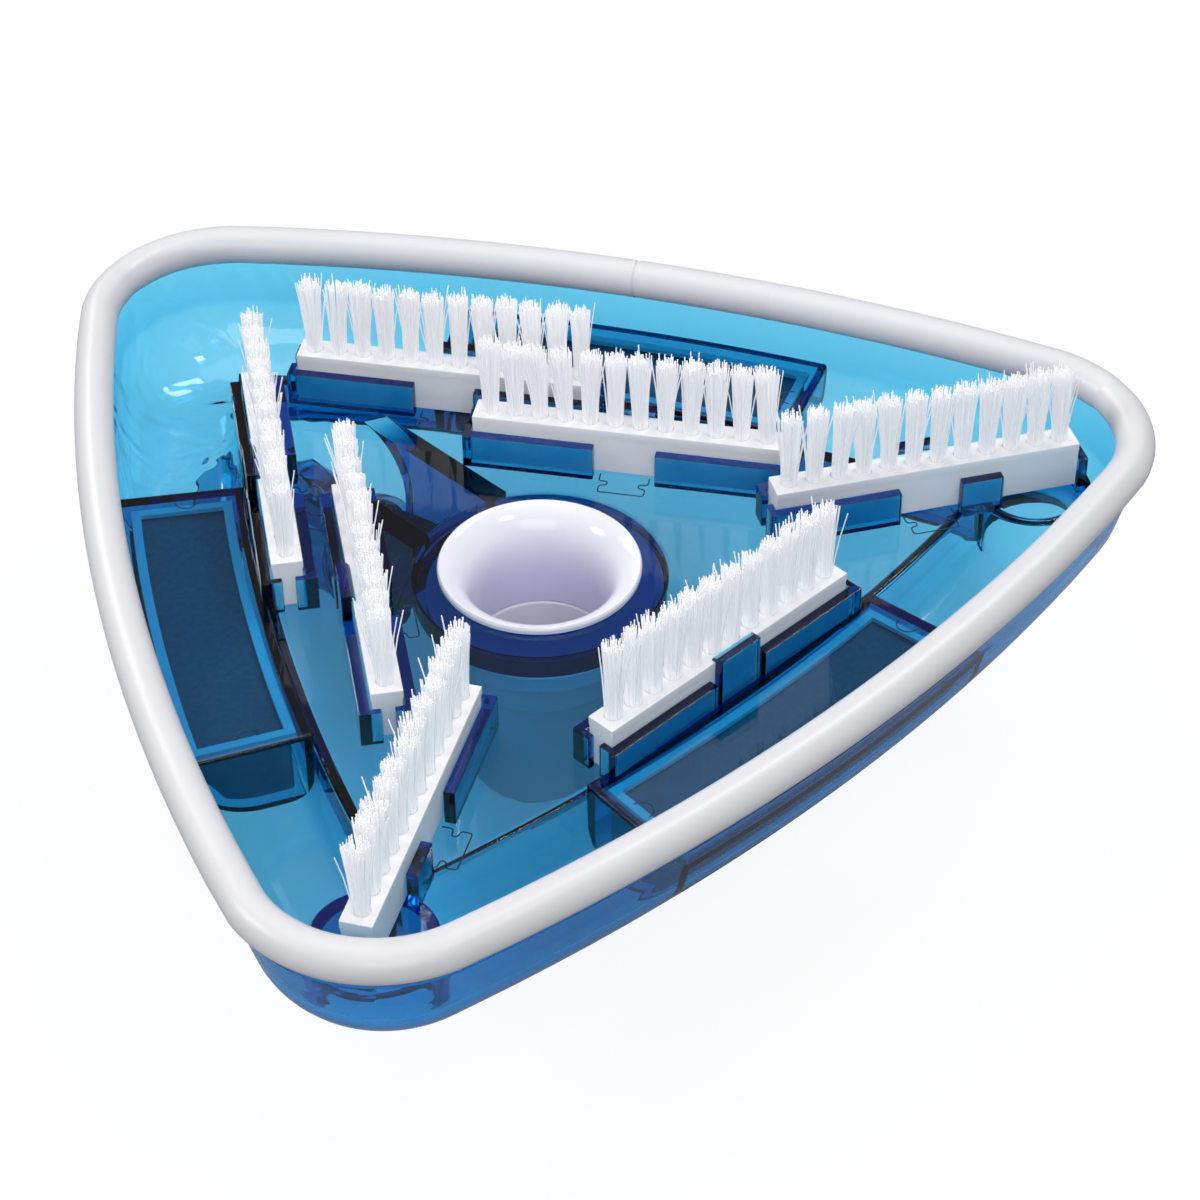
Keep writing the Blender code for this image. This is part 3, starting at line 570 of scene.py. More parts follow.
def to_mesh(bm: bmesh.types.BMesh, name: str, edge: float = 0.0, edge_steps: int = 2,
            matrix: Matrix | None = None) -> bpy.types.Mesh:
    """Finishes a mesh: rounds its edges, turns its faces outwards and moves it.

    Args:
        bm: What to finish. It is freed.
        name: The mesh's name.
        edge: Radius of its edges.
        edge_steps: Facets of each edge.
        matrix: Where it goes.

    Returns:
        The mesh.
    """
    bmesh.ops.recalc_face_normals(bm, faces=bm.faces)
    if edge:
        sharp = [e for e in bm.edges
                 if len(e.link_faces) == 2 and e.calc_face_angle() > FACETED_EDGE]
        bmesh.ops.bevel(bm, geom=sharp, offset=edge, offset_type="OFFSET", segments=edge_steps,
                        profile=0.5, affect="EDGES", clamp_overlap=True)
    if matrix is not None:
        bmesh.ops.transform(bm, matrix=matrix, verts=bm.verts)
    mesh = bpy.data.meshes.new(name)
    bm.to_mesh(mesh)
    bm.free()
    return mesh


def add_walls(bm: bmesh.types.BMesh, loops: list[list[bmesh.types.BMVert]]) -> None:
    """Joins each loop of points to the next by four-sided faces.

    Args:
        bm: The mesh to add to.
        loops: The loops in order, all of one count.
    """
    for loop, following in zip(loops, loops[1:]):
        for i, vert in enumerate(loop):
            j = (i + 1) % len(loop)
            bm.faces.new((vert, loop[j], following[j], following[i]))


def skin(name: str, rings: list[Ring], capped: bool = False,
         matrix: Matrix | None = None) -> bpy.types.Mesh:
    """A skin through rings of equal count, joined end to start or capped at both ends.

    Args:
        name: The mesh's name.
        rings: The rings in order.
        capped: Whether the ends are closed by faces instead of by each other.
        matrix: Where the mesh goes.

    Returns:
        The mesh.
    """
    bm = bmesh.new()
    loops = [[bm.verts.new(point) for point in ring] for ring in rings]
    if capped:
        bm.faces.new(loops[0])
        bm.faces.new(loops[-1])
    add_walls(bm, loops if capped else loops + loops[:1])
    return to_mesh(bm, name, matrix=matrix)


def turned(name: str, profile: list[Point], steps: int = 96,
           matrix: Matrix | None = None) -> bpy.types.Mesh:
    """A profile of (radius, height) points turned round z; one that ends on the axis is solid.

    Args:
        name: The mesh's name.
        profile: The points in order round the section.
        steps: Facets once round.
        matrix: Where the mesh goes.

    Returns:
        The mesh.
    """
    bm = bmesh.new()
    solid = profile[0][0] < ON_AXIS
    columns = []
    for step in range(steps):
        a = 2 * math.pi * step / steps
        columns.append([None if r < ON_AXIS else bm.verts.new((r * math.cos(a), r * math.sin(a), z))
                        for r, z in profile])
    if solid:
        poles = {0: bm.verts.new((0, 0, profile[0][1])),
                 len(profile) - 1: bm.verts.new((0, 0, profile[-1][1]))}
        columns = [[poles[i] if v is None else v for i, v in enumerate(column)] for column in columns]
    count = len(profile)
    for left, right in zip(columns, columns[1:] + columns[:1]):
        for i in range(count - solid):
            j = (i + 1) % count
            corners = [left[i], right[i], right[j], left[j]]
            bm.faces.new(list(dict.fromkeys(corners)))
    return to_mesh(bm, name, matrix=matrix)


def prism(name: str, outlines: list[list[Point]], low: float, high: float, edge: float = 0.0,
          matrix: Matrix | None = None) -> bpy.types.Mesh:
    """Flat outlines made into separate prisms between two heights.

    Args:
        name: The mesh's name.
        outlines: Their corners, as (x, y).
        low: The lower height.
        high: The upper height.
        edge: Radius of the edges.
        matrix: Where the mesh goes.

    Returns:
        The mesh.
    """
    bm = bmesh.new()
    for outline in outlines:
        face = bm.faces.new([bm.verts.new((x, y, low)) for x, y in outline])
        top = bmesh.ops.extrude_face_region(bm, geom=[face])["geom"]
        bmesh.ops.translate(bm, vec=(0, 0, high - low),
                            verts=[v for v in top if isinstance(v, bmesh.types.BMVert)])
    return to_mesh(bm, name, edge, 2, matrix)


def cylinder(name: str, radius: float, low: float, high: float, matrix: Matrix | None = None,
             edge: float = 0.0, steps: int = 48) -> bpy.types.Mesh:
    """A cylinder along z between two heights."""
    round_outline = circle(radius, 0, 360 * (steps - 1) / steps, steps - 1)
    return prism(name, [round_outline], low, high, edge, matrix)


def side_sweep(name: str, outline: Outline, section: list[Point], half: float, side: float,
               edge: float = 0.0, steps: int = 23) -> bpy.types.Mesh:
    """A section of (inset, height) points carried along the middle of one bowed side.

    Args:
        name: The mesh's name.
        outline: The head's plan.
        section: The section's corners.
        half: Half the length.
        side: Direction of the side's middle.
        edge: Radius of the edges.
        steps: Facets along the side.

    Returns:
        The mesh.
    """
    half_turn = half / outline.side_radius
    centre = Matrix.Rotation(side, 4, "Z") @ Vector((-outline.side_centre, 0, 0))
    rings = []
    for step in range(steps + 1):
        turn = side - half_turn + 2 * half_turn * step / steps
        place = Matrix.Translation(centre) @ Matrix.Rotation(turn, 4, "Z")
        rings.append([place @ Vector((outline.side_radius - inset, 0, height))
                      for inset, height in section])
    bm = bmesh.new()
    loops = [[bm.verts.new(point) for point in ring] for ring in rings]
    bm.faces.new(loops[0])
    bm.faces.new(loops[-1])
    add_walls(bm, loops)
    return to_mesh(bm, name, edge, 3)


def carved(mesh: bpy.types.Mesh, steps: list[tuple[Cut, bpy.types.Mesh]]) -> bpy.types.Mesh:
    """Works tool shapes into a mesh, one after the other.

    Args:
        mesh: The mesh to start from.
        steps: What each tool does.

    Returns:
        The new mesh.
    """
    target = bpy.data.objects.new("target", mesh)
    bpy.context.scene.collection.objects.link(target)
    tools = []
    for number, (cut, tool_mesh) in enumerate(steps):
        tool = bpy.data.objects.new(f"tool_{number}", tool_mesh)
        bpy.context.scene.collection.objects.link(tool)
        tools.append(tool)
        modifier = target.modifiers.new(tool.name, "BOOLEAN")
        modifier.operation = cut.value
        modifier.solver = "MANIFOLD"
        modifier.object = tool
    bpy.context.view_layer.update()
    graph = bpy.context.evaluated_depsgraph_get()
    result = bpy.data.meshes.new_from_object(target.evaluated_get(graph))
    result.name = mesh.name
    for obj in (target, *tools):
        bpy.data.objects.remove(obj)
    return result


def open_edges(mesh: bpy.types.Mesh) -> int:
    """Counts the edges that don't join two faces."""
    bm = bmesh.new()
    bm.from_mesh(mesh)
    count = sum(len(e.link_faces) != 2 for e in bm.edges)
    bm.free()
    return count


@dataclass
class Bench:
    """Sets finished pieces down on the frame."""

    palette: Palette = Palette()
    made: dict[str, bpy.types.Material] = field(default_factory=dict)

    @property
    def hub(self) -> Matrix:
        """The hub axis at the height of the deck."""
        low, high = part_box("hose_nozzle")
        return Matrix.Translation(((low.x + high.x) / 2, (low.y + high.y) / 2, low.z + UP_TO_DECK))

    def material(self, finish: Finish) -> bpy.types.Material:
        """The material of a finish, made once."""
        if finish.name not in self.made:
            self.made[finish.name] = finish.build()
        return self.made[finish.name]

    def settle(self, mesh: bpy.types.Mesh, name: str, finish: Finish, body: Body,
               stands_for: tuple[str, ...] = (), place: Matrix = Matrix(),
               smooth: float = 32) -> bpy.types.Object:
        """Makes a mesh into a piece of the object.

        Args:
            mesh: Its mesh, in coordinates of the hub.
            name: The piece's name.
            finish: Its finish.
            body: The body that it moves with.
            stands_for: The CAD nodes that it replaces.
            place: Where it goes, from the hub.
            smooth: Edges flatter than this are shaded smooth, in degrees.

        Returns:
            The piece.
        """
        mesh.transform(place)
        mesh.materials.clear()
        mesh.materials.append(self.material(finish))
        mesh.shade_smooth()
        mesh.set_sharp_from_angle(angle=math.radians(smooth))
        piece = bpy.data.objects.new(name, mesh)
        piece.matrix_world = self.hub
        bpy.context.scene.collection.objects.link(piece)
        normals = piece.modifiers.new("flat_faces_stay_flat", "WEIGHTED_NORMAL")
        normals.keep_sharp = True
        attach(piece, body.value)
        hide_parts(*stands_for)
        LOG.info("%s: %d faces, %d open edges", name, len(mesh.polygons), open_edges(mesh))
        return piece


# ----------------------------------------------------------------------------- sub-assemblies


@dataclass
class Brushes:
    """Seven bristle strips: where they lie, the strips themselves and their filaments."""

    outline: Outline
    length: float = 80 * MM
    width: float = 7.8 * MM
    foot_width: float = 6.9 * MM
    top: float = 13.7 * MM
    flange: float = 2.2 * MM
    tufts: int = 12
    pitch: float = 6.5 * MM
    root: float = 1.9 * MM
    tip: float = 2.95 * MM
    tuft_height: float = 21 * MM
    hole: float = 2.15 * MM
    hole_depth: float = 1.6 * MM
    filaments: int = 84
    filament_radius: float = 0.19 * MM
    filament_sides: int = 4
    stray_share: float = 0.05
    deck_inset: float = 35.6 * MM
    skew: float = math.radians(4.5)
    outer: Point = (9.3 * MM, -41.9 * MM)
    inner: Point = (23.1 * MM, 10.6 * MM)
    front_inset: float = 6.4 * MM
    corner_inset: float = 53.5 * MM

    def places(self) -> dict[str, tuple[Matrix, int]]:
        """Where each strip lies.

        Returns:
            The matrix of each strip and which end of it reaches past the deck, by name.
        """
        deck_middle = self.outline.middle - self.deck_inset
        side = self.outline.sides[0]
        result = {}
        for label, (inset, station) in (("outer", self.outer), ("inner", self.inner)):
            reach = deck_middle - inset
            x = math.cos(side) * reach + math.sin(side) * station
            y = math.sin(side) * reach - math.cos(side) * station
            turn = side - math.pi / 2 + self.skew
            result[label + "_right"] = (self.bearing(turn, x, y), 0)
            result[label + "_left"] = (self.bearing(-turn, -x, y), 0)
        result["front"] = (self.bearing(math.pi, 0, self.front_inset - deck_middle), 0)
        reach = self.outline.apex - self.corner_inset
        angle = self.outline.corners[2]
        x, y = math.cos(angle) * reach, math.sin(angle) * reach
        result["corner_right"] = (self.bearing(angle, x, y), 1)
        result["corner_left"] = (self.bearing(-angle, -x, y), -1)
        return result

    @staticmethod
    def bearing(angle: float, x: float, y: float) -> Matrix:
        """A place on the deck, turned round the upright."""
        return Matrix.Translation((x, y, 0)) @ Matrix.Rotation(angle, 4, "Z")

    def stations(self) -> list[float]:
        """Where the tufts stand along a strip."""
        return [(i - (self.tufts - 1) / 2) * self.pitch for i in range(self.tufts)]

    def strip_mesh(self) -> bpy.types.Mesh:
        """A strip: a bar that widens to a flange, with a hole for each tuft.

        Returns:
            The mesh.
        """
        half, foot = self.width / 2, self.foot_width / 2
        neck = self.top - self.flange
        right = [(foot, GAP), (foot + 0.2 * MM, neck - 0.6 * MM), (half, neck), (half, self.top)]
        section = [(-foot, GAP)] + right + [(-x, y) for x, y in right[:0:-1]]
        bar = prism("strip", [section], -self.length / 2, self.length / 2, 0.35 * MM, SIDE_VIEW)
        holes = [circle(self.hole, 0, 345, 23, (x, 0)) for x in self.stations()]
        drills = prism("holes", holes, self.top - self.hole_depth, self.top + MM)
        return carved(bar, [(Cut.REMOVE, drills)])

    def filament_mesh(self, seed: int) -> bpy.types.Mesh:
        """A row of tufts, thread by thread.

        Args:
            seed: Start of the row's random numbers.

        Returns:
            The mesh.
        """
        chance = random.Random(seed)
        points: list[Vector] = []
        faces: list[tuple[int, ...]] = []
        golden = math.pi * (3 - math.sqrt(5))
        for station in self.stations():
            lean = Vector((chance.gauss(0, 0.45), chance.gauss(0, 0.3), 0)) * MM
            swell = chance.uniform(0.92, 1.1)
            tall = self.tuft_height + chance.uniform(-0.5, 0.25) * MM
            for number in range(self.filaments):
                share = math.sqrt((number + 0.5) / self.filaments)
                angle = number * golden + chance.uniform(-0.2, 0.2)
                away = Vector((math.cos(angle), math.sin(angle), 0))
                base = Vector((station, 0, self.top - self.hole_depth)) + away * share * self.root
                drift = away * share * (self.tip * swell - self.root) + lean
                drift += Vector((chance.gauss(0, 0.22), chance.gauss(0, 0.22), 0)) * MM
                if share > 0.6 and chance.random() < self.stray_share * 2:
                    drift += away * chance.uniform(0.8, 3.2) * MM
                height = tall + self.hole_depth + chance.gauss(-0.25, 0.45) * MM
                height = min(height, self.tuft_height + self.hole_depth + 0.6 * MM)
                self.add_thread(points, faces, base, drift, height, chance)
        mesh = bpy.data.meshes.new("tufts")
        mesh.from_pydata(points, [], faces)
        return mesh

    def add_thread(self, points: list[Vector], faces: list[tuple[int, ...]], base: Vector,
                   drift: Vector, height: float, chance: random.Random) -> None:
        """Adds one thread: a thin bar that bends outwards towards its cut end.

        Args:
            points: The mesh's points so far.
            faces: The mesh's faces so far.
            base: Where the thread leaves the strip.
            drift: How far its end is off to the side.
            height: How tall it is.
            chance: Source of random numbers.
        """
        sides = self.filament_sides
        turn = chance.uniform(0, math.pi)
        first = len(points)
        levels = (0.0, 0.3, 0.65, 1.0)
        for level in levels:
            centre = base + drift * (0.45 * level + 0.55 * level ** 2) + Vector((0, 0, height * level))
            radius = self.filament_radius * (1 - 0.15 * level)
            for side in range(sides):
                a = turn + 2 * math.pi * side / sides
                points.append(centre + Vector((math.cos(a), math.sin(a), 0)) * radius)
        for ring in range(len(levels) - 1):
            for side in range(sides):
                a, b = first + ring * sides + side, first + ring * sides + (side + 1) % sides
                faces.append((a, b, b + sides, a + sides))
        faces.append(tuple(first + side for side in reversed(range(sides))))
        last = first + (len(levels) - 1) * sides
        faces.append(tuple(last + side for side in range(sides)))

    def build(self, bench: Bench) -> None:
        """Makes the strips and their tufts."""
        strip = self.strip_mesh()
        for number, (name, (place, _)) in enumerate(self.places().items()):
            bench.settle(strip.copy(), f"bristle_carrier_{name}", bench.palette.strip, Body.HEAD,
                         (f"brush_strip_{name}",), place)
            bench.settle(self.filament_mesh(number + 11), f"nylon_tufts_{name}", bench.palette.bristle,
                         Body.HEAD, (f"bristles_{name}",), place, 60)


@dataclass
class Shell:
    """The moulded blue body: dish, hub boss, weight chambers, brush holders, bosses and bracket."""

    outline: Outline
    brushes: Brushes
    wall: float = 2.5 * MM
    rim_top: float = 18.3 * MM
    grip: float = 6.8 * MM
    draft: float = 2.75 * MM
    gutter: float = 16.5 * MM
    gutter_round: float = 21 * MM
    deck_inset: float = 35.6 * MM
    step_draft: float = 0.8 * MM
    deck_edge: float = 0.9 * MM
    arc_steps: int = 14
    hub_bore: float = 20 * MM
    hub_radius: float = 31.5 * MM
    hub_depth: float = 10 * MM
    seat: float = 24 * MM
    seat_depth: float = 4 * MM
    chamber_half: float = 52 * MM
    chamber_inset: float = 36.1 * MM
    chamber_top: float = 3 * MM
    chamber_edge: float = 1.1 * MM
    cover_seam: float = 8 * MM
    weight_margin: float = 2.5 * MM
    weight_headroom: float = 2 * MM
    # Size and place of the pale frame round each weight.
    pale_band_depth: float = 1.2 * MM
    pale_band_width: float = 2.3 * MM
    pale_band_inset: float = 1.1 * MM
    holder_wall: float = 2.8 * MM
    holder_end: float = 1.8 * MM
    holder_top: float = 9.5 * MM
    holder_gap: float = 16 * MM
    holder_lip: float = 2.6 * MM
    holder_edge: float = 0.35 * MM
    short_wall: float = 11 * MM
    clip_length: float = 13 * MM
    clip_thick: float = 2.5 * MM
    clip_overhang: float = 1.1 * MM
    clip_nose: float = 1.5 * MM
    boss_radius: float = 15 * MM
    boss_inset: float = 23.5 * MM
    tab_width: float = 8 * MM
    tab_top: float = 8.5 * MM
    ear_inner: float = 9.7 * MM
    ear_thick: float = 6.5 * MM
    ear_tip: float = 12 * MM
    ear_fillet: float = 16 * MM
    pivot: Point = (50 * MM, -30 * MM)
    pin_radius: float = 3 * MM
    line_radius: float = 0.18 * MM
    foot_round: float = 7 * MM
    ledge: float = 0.9 * MM

    @property
    def below(self) -> float:
        """Deck to the underside of the gutter."""
        return self.gutter + self.wall

    def gutter_arc(self, radius: float, start: float, end: float,
                   steps: int | None = None) -> list[Point]:
        """Points (inset, height) on the rounding between wall and gutter floor.

        Args:
            radius: Radius of the rounding.
            start: First angle below level, in degrees.
            end: Last angle.
            steps: Facets.

        Returns:
            The points.
        """
        inset = self.draft - self.wall / 2 + self.gutter_round
        height = self.gutter_round - self.below
        count = steps or self.arc_steps
        turns = [math.radians(start + (end - start) * i / count) for i in range(count + 1)]
        return [(inset - radius * math.cos(t), height - radius * math.sin(t)) for t in turns]

    def dish_mesh(self) -> bpy.types.Mesh:
        """The dish with its deck and hub boss, as one skin.

        Returns:
            The mesh.
        """
        plan = self.outline
        grip, face = self.rim_top - self.grip, -self.wall / 2
        outside = [(face, self.rim_top), (face, grip + self.ledge),
                   (face - self.ledge, grip + self.ledge / 2),
                   (face - self.ledge, grip - self.ledge / 2), (face, grip - self.ledge)]
        outside += self.gutter_arc(self.gutter_round, 0, 90)[2:]
        corner = (self.deck_inset + self.wall, -self.below)
        roof = (self.deck_inset + self.wall, -self.wall)
        foot = rounded([outside[-1], corner, roof], self.foot_round + self.wall, 6, False, 0.6)[1:-1]
        under = foot + rounded([foot[-1], roof, (self.deck_inset + 3 * self.wall, -self.wall)],
                               self.deck_edge, 3, closed=False)[1:]
        floor = self.gutter_arc(self.gutter_round - self.wall, 90, 0)
        corner = (self.deck_inset - self.step_draft, -self.gutter)
        edge = rounded([(self.deck_inset + 3 * self.wall, 0), (self.deck_inset, 0), corner],
                       self.deck_edge, 4, closed=False)[:-1]
        foot = rounded([edge[-1], corner, floor[0]], self.foot_round, 6, False, 0.6)[1:-1]
        over = edge + foot + floor
        over += [(self.wall / 2, self.rim_top - self.grip), (self.wall / 2, self.rim_top)]
        rings = [plan.ring(*point) for point in outside + under]
        rings += [plan.round_ring(r, z) for r, z in (
            (self.hub_radius + MM, -self.wall), (self.hub_radius, -self.wall - 0.6 * MM),
            (self.hub_radius, -self.hub_depth + 0.6 * MM),
            (self.hub_radius - 0.6 * MM, -self.hub_depth),
            (self.hub_bore, -self.hub_depth), (self.hub_bore, -self.seat_depth), (self.seat, 0),
            (self.hub_radius + MM, 0))]
        rings += [plan.ring(*point) for point in over]
        return skin("dish", rings)

    def seam_angle(self, radius: float, depth: float) -> float:
        """Where the rounding is this deep below the deck, in degrees below level."""
        return math.degrees(math.asin((self.gutter_round - self.below + depth) / radius))

    def chamber_sections(self) -> tuple[list[Point], list[Point], list[Point], list[Point]]:
        """Sections of a weight chamber.

        Returns:
            Outlines of the chamber's body, its hollow, the cover and the weight.
        """
        middle, inner = self.gutter_round - self.wall / 2, self.gutter_round - self.wall
        round_inset = self.draft - self.wall / 2 + self.gutter_round
        hollow_in = self.chamber_inset - self.wall
        roof = self.chamber_top - self.wall
        foot = self.foot_round + self.wall / 2
        body = [(self.chamber_inset, self.chamber_top), (self.chamber_inset, foot - self.below),
                (self.chamber_inset - 0.3 * foot, 0.3 * foot - self.below),
                (self.chamber_inset - foot, self.wall / 2 - self.below)]
        body += self.gutter_arc(middle, 90, 0)
        body += [(round_inset - middle, self.chamber_top)]
        lip = self.gutter_arc(inner - GAP, self.seam_angle(inner, self.cover_seam), 0, 6)
        base, outside = -self.below - self.wall, -2 * self.wall
        hollow = [(hollow_in, roof), (hollow_in, base), (outside, base), (outside, -self.cover_seam)]
        hollow += [point for point in lip if point[1] <= roof]
        hollow += [(lip[-1][0], roof)]
        seam = self.cover_seam + GAP
        cover = [(hollow_in - GAP, -self.gutter), (hollow_in - GAP, -self.below)]
        cover += self.gutter_arc(self.gutter_round, 90, self.seam_angle(self.gutter_round, seam))
        cover += self.gutter_arc(inner, self.seam_angle(inner, seam), 90)
        weight_in = hollow_in - self.weight_margin
        weight_round = inner - self.weight_margin
        weight = [(weight_in, roof - self.weight_headroom), (weight_in, GAP - self.gutter)]
        weight += self.gutter_arc(inner - GAP, 90, 62, 5)
        weight += self.gutter_arc(weight_round, 45, 20, 5)
        weight += [(round_inset - weight_round, roof - self.weight_headroom)]
        return body, hollow, cover, weight

    def pale_band_frame_mesh(self, side: float) -> bpy.types.Mesh:
        """A pale frame just under the roof, round the weight, that gives a bright band round it.

        Args:
            side: Direction of the side's middle.

        Returns:
            The mesh.
        """
        inner = self.gutter_round - self.wall
        round_inset = self.draft - self.wall / 2 + self.gutter_round
        top = self.chamber_top - self.wall - GAP
        low = top - self.pale_band_depth
        near = self.chamber_inset - self.wall - self.pale_band_inset
        far = round_inset - inner + GAP + 2.5 * self.pale_band_inset
        half = self.chamber_half - self.wall - 1.5 * self.pale_band_inset
        frame = side_sweep("pale_band", self.outline, rectangle(far, near, low, top), half, side)
        inset = self.pale_band_width
        hole = rectangle(far + inset, near - inset, low - MM, top + MM)
        inside = side_sweep("inside", self.outline, hole, half - inset, side)
        return carved(frame, [(Cut.REMOVE, inside)])

    def holder_outlines(self, outward: int) -> list[list[Point]]:
        """Footprints of the four walls round a strip.

        Args:
            outward: Which end of the strip reaches past the deck, or 0.

        Returns:
            The outlines.
        """
        inner = self.brushes.width / 2 + GAP
        outer = inner + self.holder_wall
        start, stop = self.holder_gap / 2, self.brushes.length / 2 + GAP
        end, lip = stop + self.holder_end, inner - self.holder_lip
        outlines = []
        for end_sign in (-1, 1):
            for side_sign in (-1, 1):
                if end_sign == outward:
                    points = rectangle(start, start + self.short_wall, inner, outer)
                else:
                    points = [(start, inner), (stop, inner), (stop, lip), (end, lip), (end, outer),
                              (start, outer)]
                outlines.append([(x * end_sign, y * side_sign) for x, y in points])
        return outlines

    def ear_outline(self) -> list[Point]:
        """Side view (forward, height) of a bracket ear: filleted foot, straight front, round tip.

        Returns:
            The outline.
        """
        forward, depth = self.pivot
        front = forward + self.ear_tip
        foot = -self.wall / 2
        points = [(self.hub_radius - self.wall, foot), (front + self.ear_fillet, foot)]
        points += circle(self.ear_fillet, 90, 90, 16,
                         (front + self.ear_fillet, -self.wall - self.ear_fillet))
        points += circle(self.ear_tip, 0, -180, 24, (forward, depth))
        return points + [(self.hub_radius - self.wall, self.wall - self.hub_depth)]

    def chambers(self) -> list[tuple[Cut, bpy.types.Mesh]]:
        """Tools of the three weight chambers."""
        body, hollow, _, _ = self.chamber_sections()
        steps = [(Cut.JOIN, side_sweep("chamber", self.outline, body, self.chamber_half, side,
                                       self.chamber_edge))
                 for side in self.outline.sides]
        inside = self.chamber_half - self.wall
        return steps + [(Cut.REMOVE, side_sweep("hollow", self.outline, hollow, inside, side))
                        for side in self.outline.sides]

    def bosses(self) -> list[tuple[Cut, bpy.types.Mesh]]:
        """Tools of the two platforms under the outer ends of the corner strips."""
        middle = self.gutter_round - self.wall / 2
        inset = self.draft - self.wall / 2 + self.gutter_round - middle
        steps = []
        for angle in self.outline.corners[1:]:
            rings = [self.outline.ring(inset, self.chamber_top)]
            rings += [self.outline.ring(*point) for point in self.gutter_arc(middle, 0, 90)]
            reach = self.outline.apex - self.boss_inset
            place = Matrix.Translation((math.cos(angle) * reach, math.sin(angle) * reach, 0))
            boss = cylinder("boss", self.boss_radius, -self.below - self.wall, -GAP, place, 0.7 * MM)
            inside = skin("inside", rings, capped=True)
            steps.append((Cut.JOIN, carved(boss, [(Cut.KEEP_INSIDE, inside)])))
            core = cylinder("core", self.boss_radius - self.wall, -self.below - 2 * self.wall,
                            -self.wall - GAP, place, 0.7 * MM)
            steps.append((Cut.REMOVE, core))
        return steps

    def holders(self) -> list[tuple[Cut, bpy.types.Mesh]]:
        """Tools of the walls, clips and end tabs that hold the strips."""
        low = -self.wall / 2
        clip_in = self.brushes.width / 2 + GAP
        clip_out, nose = clip_in + self.clip_thick, self.brushes.top + GAP
        section = [(clip_in, low), (clip_out, low), (clip_out, nose + self.clip_nose),
                   (clip_in - self.clip_overhang / 3, nose + self.clip_nose),
                   (clip_in - self.clip_overhang, nose + self.clip_nose / 3),
                   (clip_in - self.clip_overhang, nose), (clip_in, nose)]
        half = self.clip_length / 2
        steps = []
        for place, outward in self.brushes.places().values():
            walls = prism("holder", self.holder_outlines(outward), low, self.holder_top,
                          self.holder_edge, place)
            clip = prism("clip", [section], -half, half, 0.3 * MM, place @ SIDE_VIEW)
            steps += [(Cut.JOIN, walls), (Cut.JOIN, clip)]
            if outward:
                near = self.brushes.length / 2 + GAP
                ends = sorted((outward * near, outward * (near + self.clip_thick)))
                tab = rectangle(*ends, -self.tab_width / 2, self.tab_width / 2)
                steps.append((Cut.JOIN, prism("tab", [tab], low - self.wall, self.tab_top, 0.4 * MM,
                                              place)))
        return steps

    def bracket(self) -> list[tuple[Cut, bpy.types.Mesh]]:
        """Tools of the two ears that carry the pole handle."""
        steps = []
        for sign in (-1, 1):
            faces = sorted((sign * self.ear_inner, sign * (self.ear_inner + self.ear_thick)))
            steps.append((Cut.JOIN, prism("ear", [self.ear_outline()], *faces, 0.5 * MM, SIDE_VIEW)))
        reach = self.ear_inner + self.ear_thick + self.wall
        place = Matrix.Translation((0, *self.pivot)) @ ACROSS
        steps.append((Cut.REMOVE, cylinder("pin_hole", self.pin_radius + GAP, -reach, reach, place)))
        return steps

    def insert_lines(self) -> bpy.types.Mesh:
        """Thin lines that the mould's inserts leave on the deck, in front of each strip's gap.

        Returns:
            The mesh.
        """
        top, neck, foot = 6.4 * MM, 4.1 * MM, 6.0 * MM
        right = [(top, 0), (top, 2.8 * MM), (neck, 2.9 * MM), (neck, 4.3 * MM), (foot, 4.7 * MM),
                 (foot, 7.4 * MM)]
        path = [(-x, y) for x, y in right] + right[::-1]
        path = rounded(path, 0.9 * MM, 4, closed=False)
        start = self.brushes.width / 2 + GAP
        bm = bmesh.new()
        for place, _ in self.brushes.places().values():
            line = [place @ Vector((x, -start - y, 0)) for x, y in path]
            add_thread_line(bm, line, self.line_radius)
        for side in self.outline.sides:
            centre = Matrix.Rotation(side, 4, "Z") @ Vector((-self.outline.side_centre, 0, 0))
            for sign in (-1, 1):
                turn = side + sign * (self.chamber_half - 4.6 * MM) / self.outline.side_radius
                place = Matrix.Translation(centre) @ Matrix.Rotation(turn, 4, "Z")
                reach = self.outline.side_radius - self.chamber_inset / 2 - 3 * MM
                arc = circle(2.7 * MM, 0, 180 * -sign, 12)
                line = [place @ Vector((reach + x, y, self.chamber_top)) for x, y in arc]
                add_thread_line(bm, line, self.line_radius)
        return to_mesh(bm, "insert_lines")

    def build(self, bench: Bench) -> None:
        """Makes the shell, its covers and its weights."""
        tools = self.chambers() + self.bosses() + self.holders() + self.bracket()
        shell = carved(self.dish_mesh(), tools)
        bench.settle(shell, "dish_moulding", bench.palette.shell, Body.HEAD,
                     ("body_shell",))
        bench.settle(self.insert_lines(), "mould_insert_lines", bench.palette.line, Body.HEAD,
                     ("body_shell",), smooth=80)
        _, _, cover, weight = self.chamber_sections()
        for name, side in zip(("right", "left", "front"), self.outline.sides):
            half = self.chamber_half - self.wall - GAP
            mesh = side_sweep("cover", self.outline, cover, half, side, 0.25 * MM)
            bench.settle(mesh, f"chamber_cover_{name}", bench.palette.cover, Body.HEAD,
                         (f"weight_cover_{name}",))
            half = self.chamber_half - self.wall - self.weight_margin
            mesh = side_sweep("weight", self.outline, weight, half, side, 0.9 * MM)
            bench.settle(mesh, f"iron_weight_{name}", bench.palette.weight, Body.HEAD,
                         (f"weight_{name}",))
            # A pale frame round each weight, which gives the bright band round it.
            bench.settle(self.pale_band_frame_mesh(side), f"weight_pale_band_{name}", bench.palette.pale_band,
                         Body.HEAD, (f"weight_{name}",))


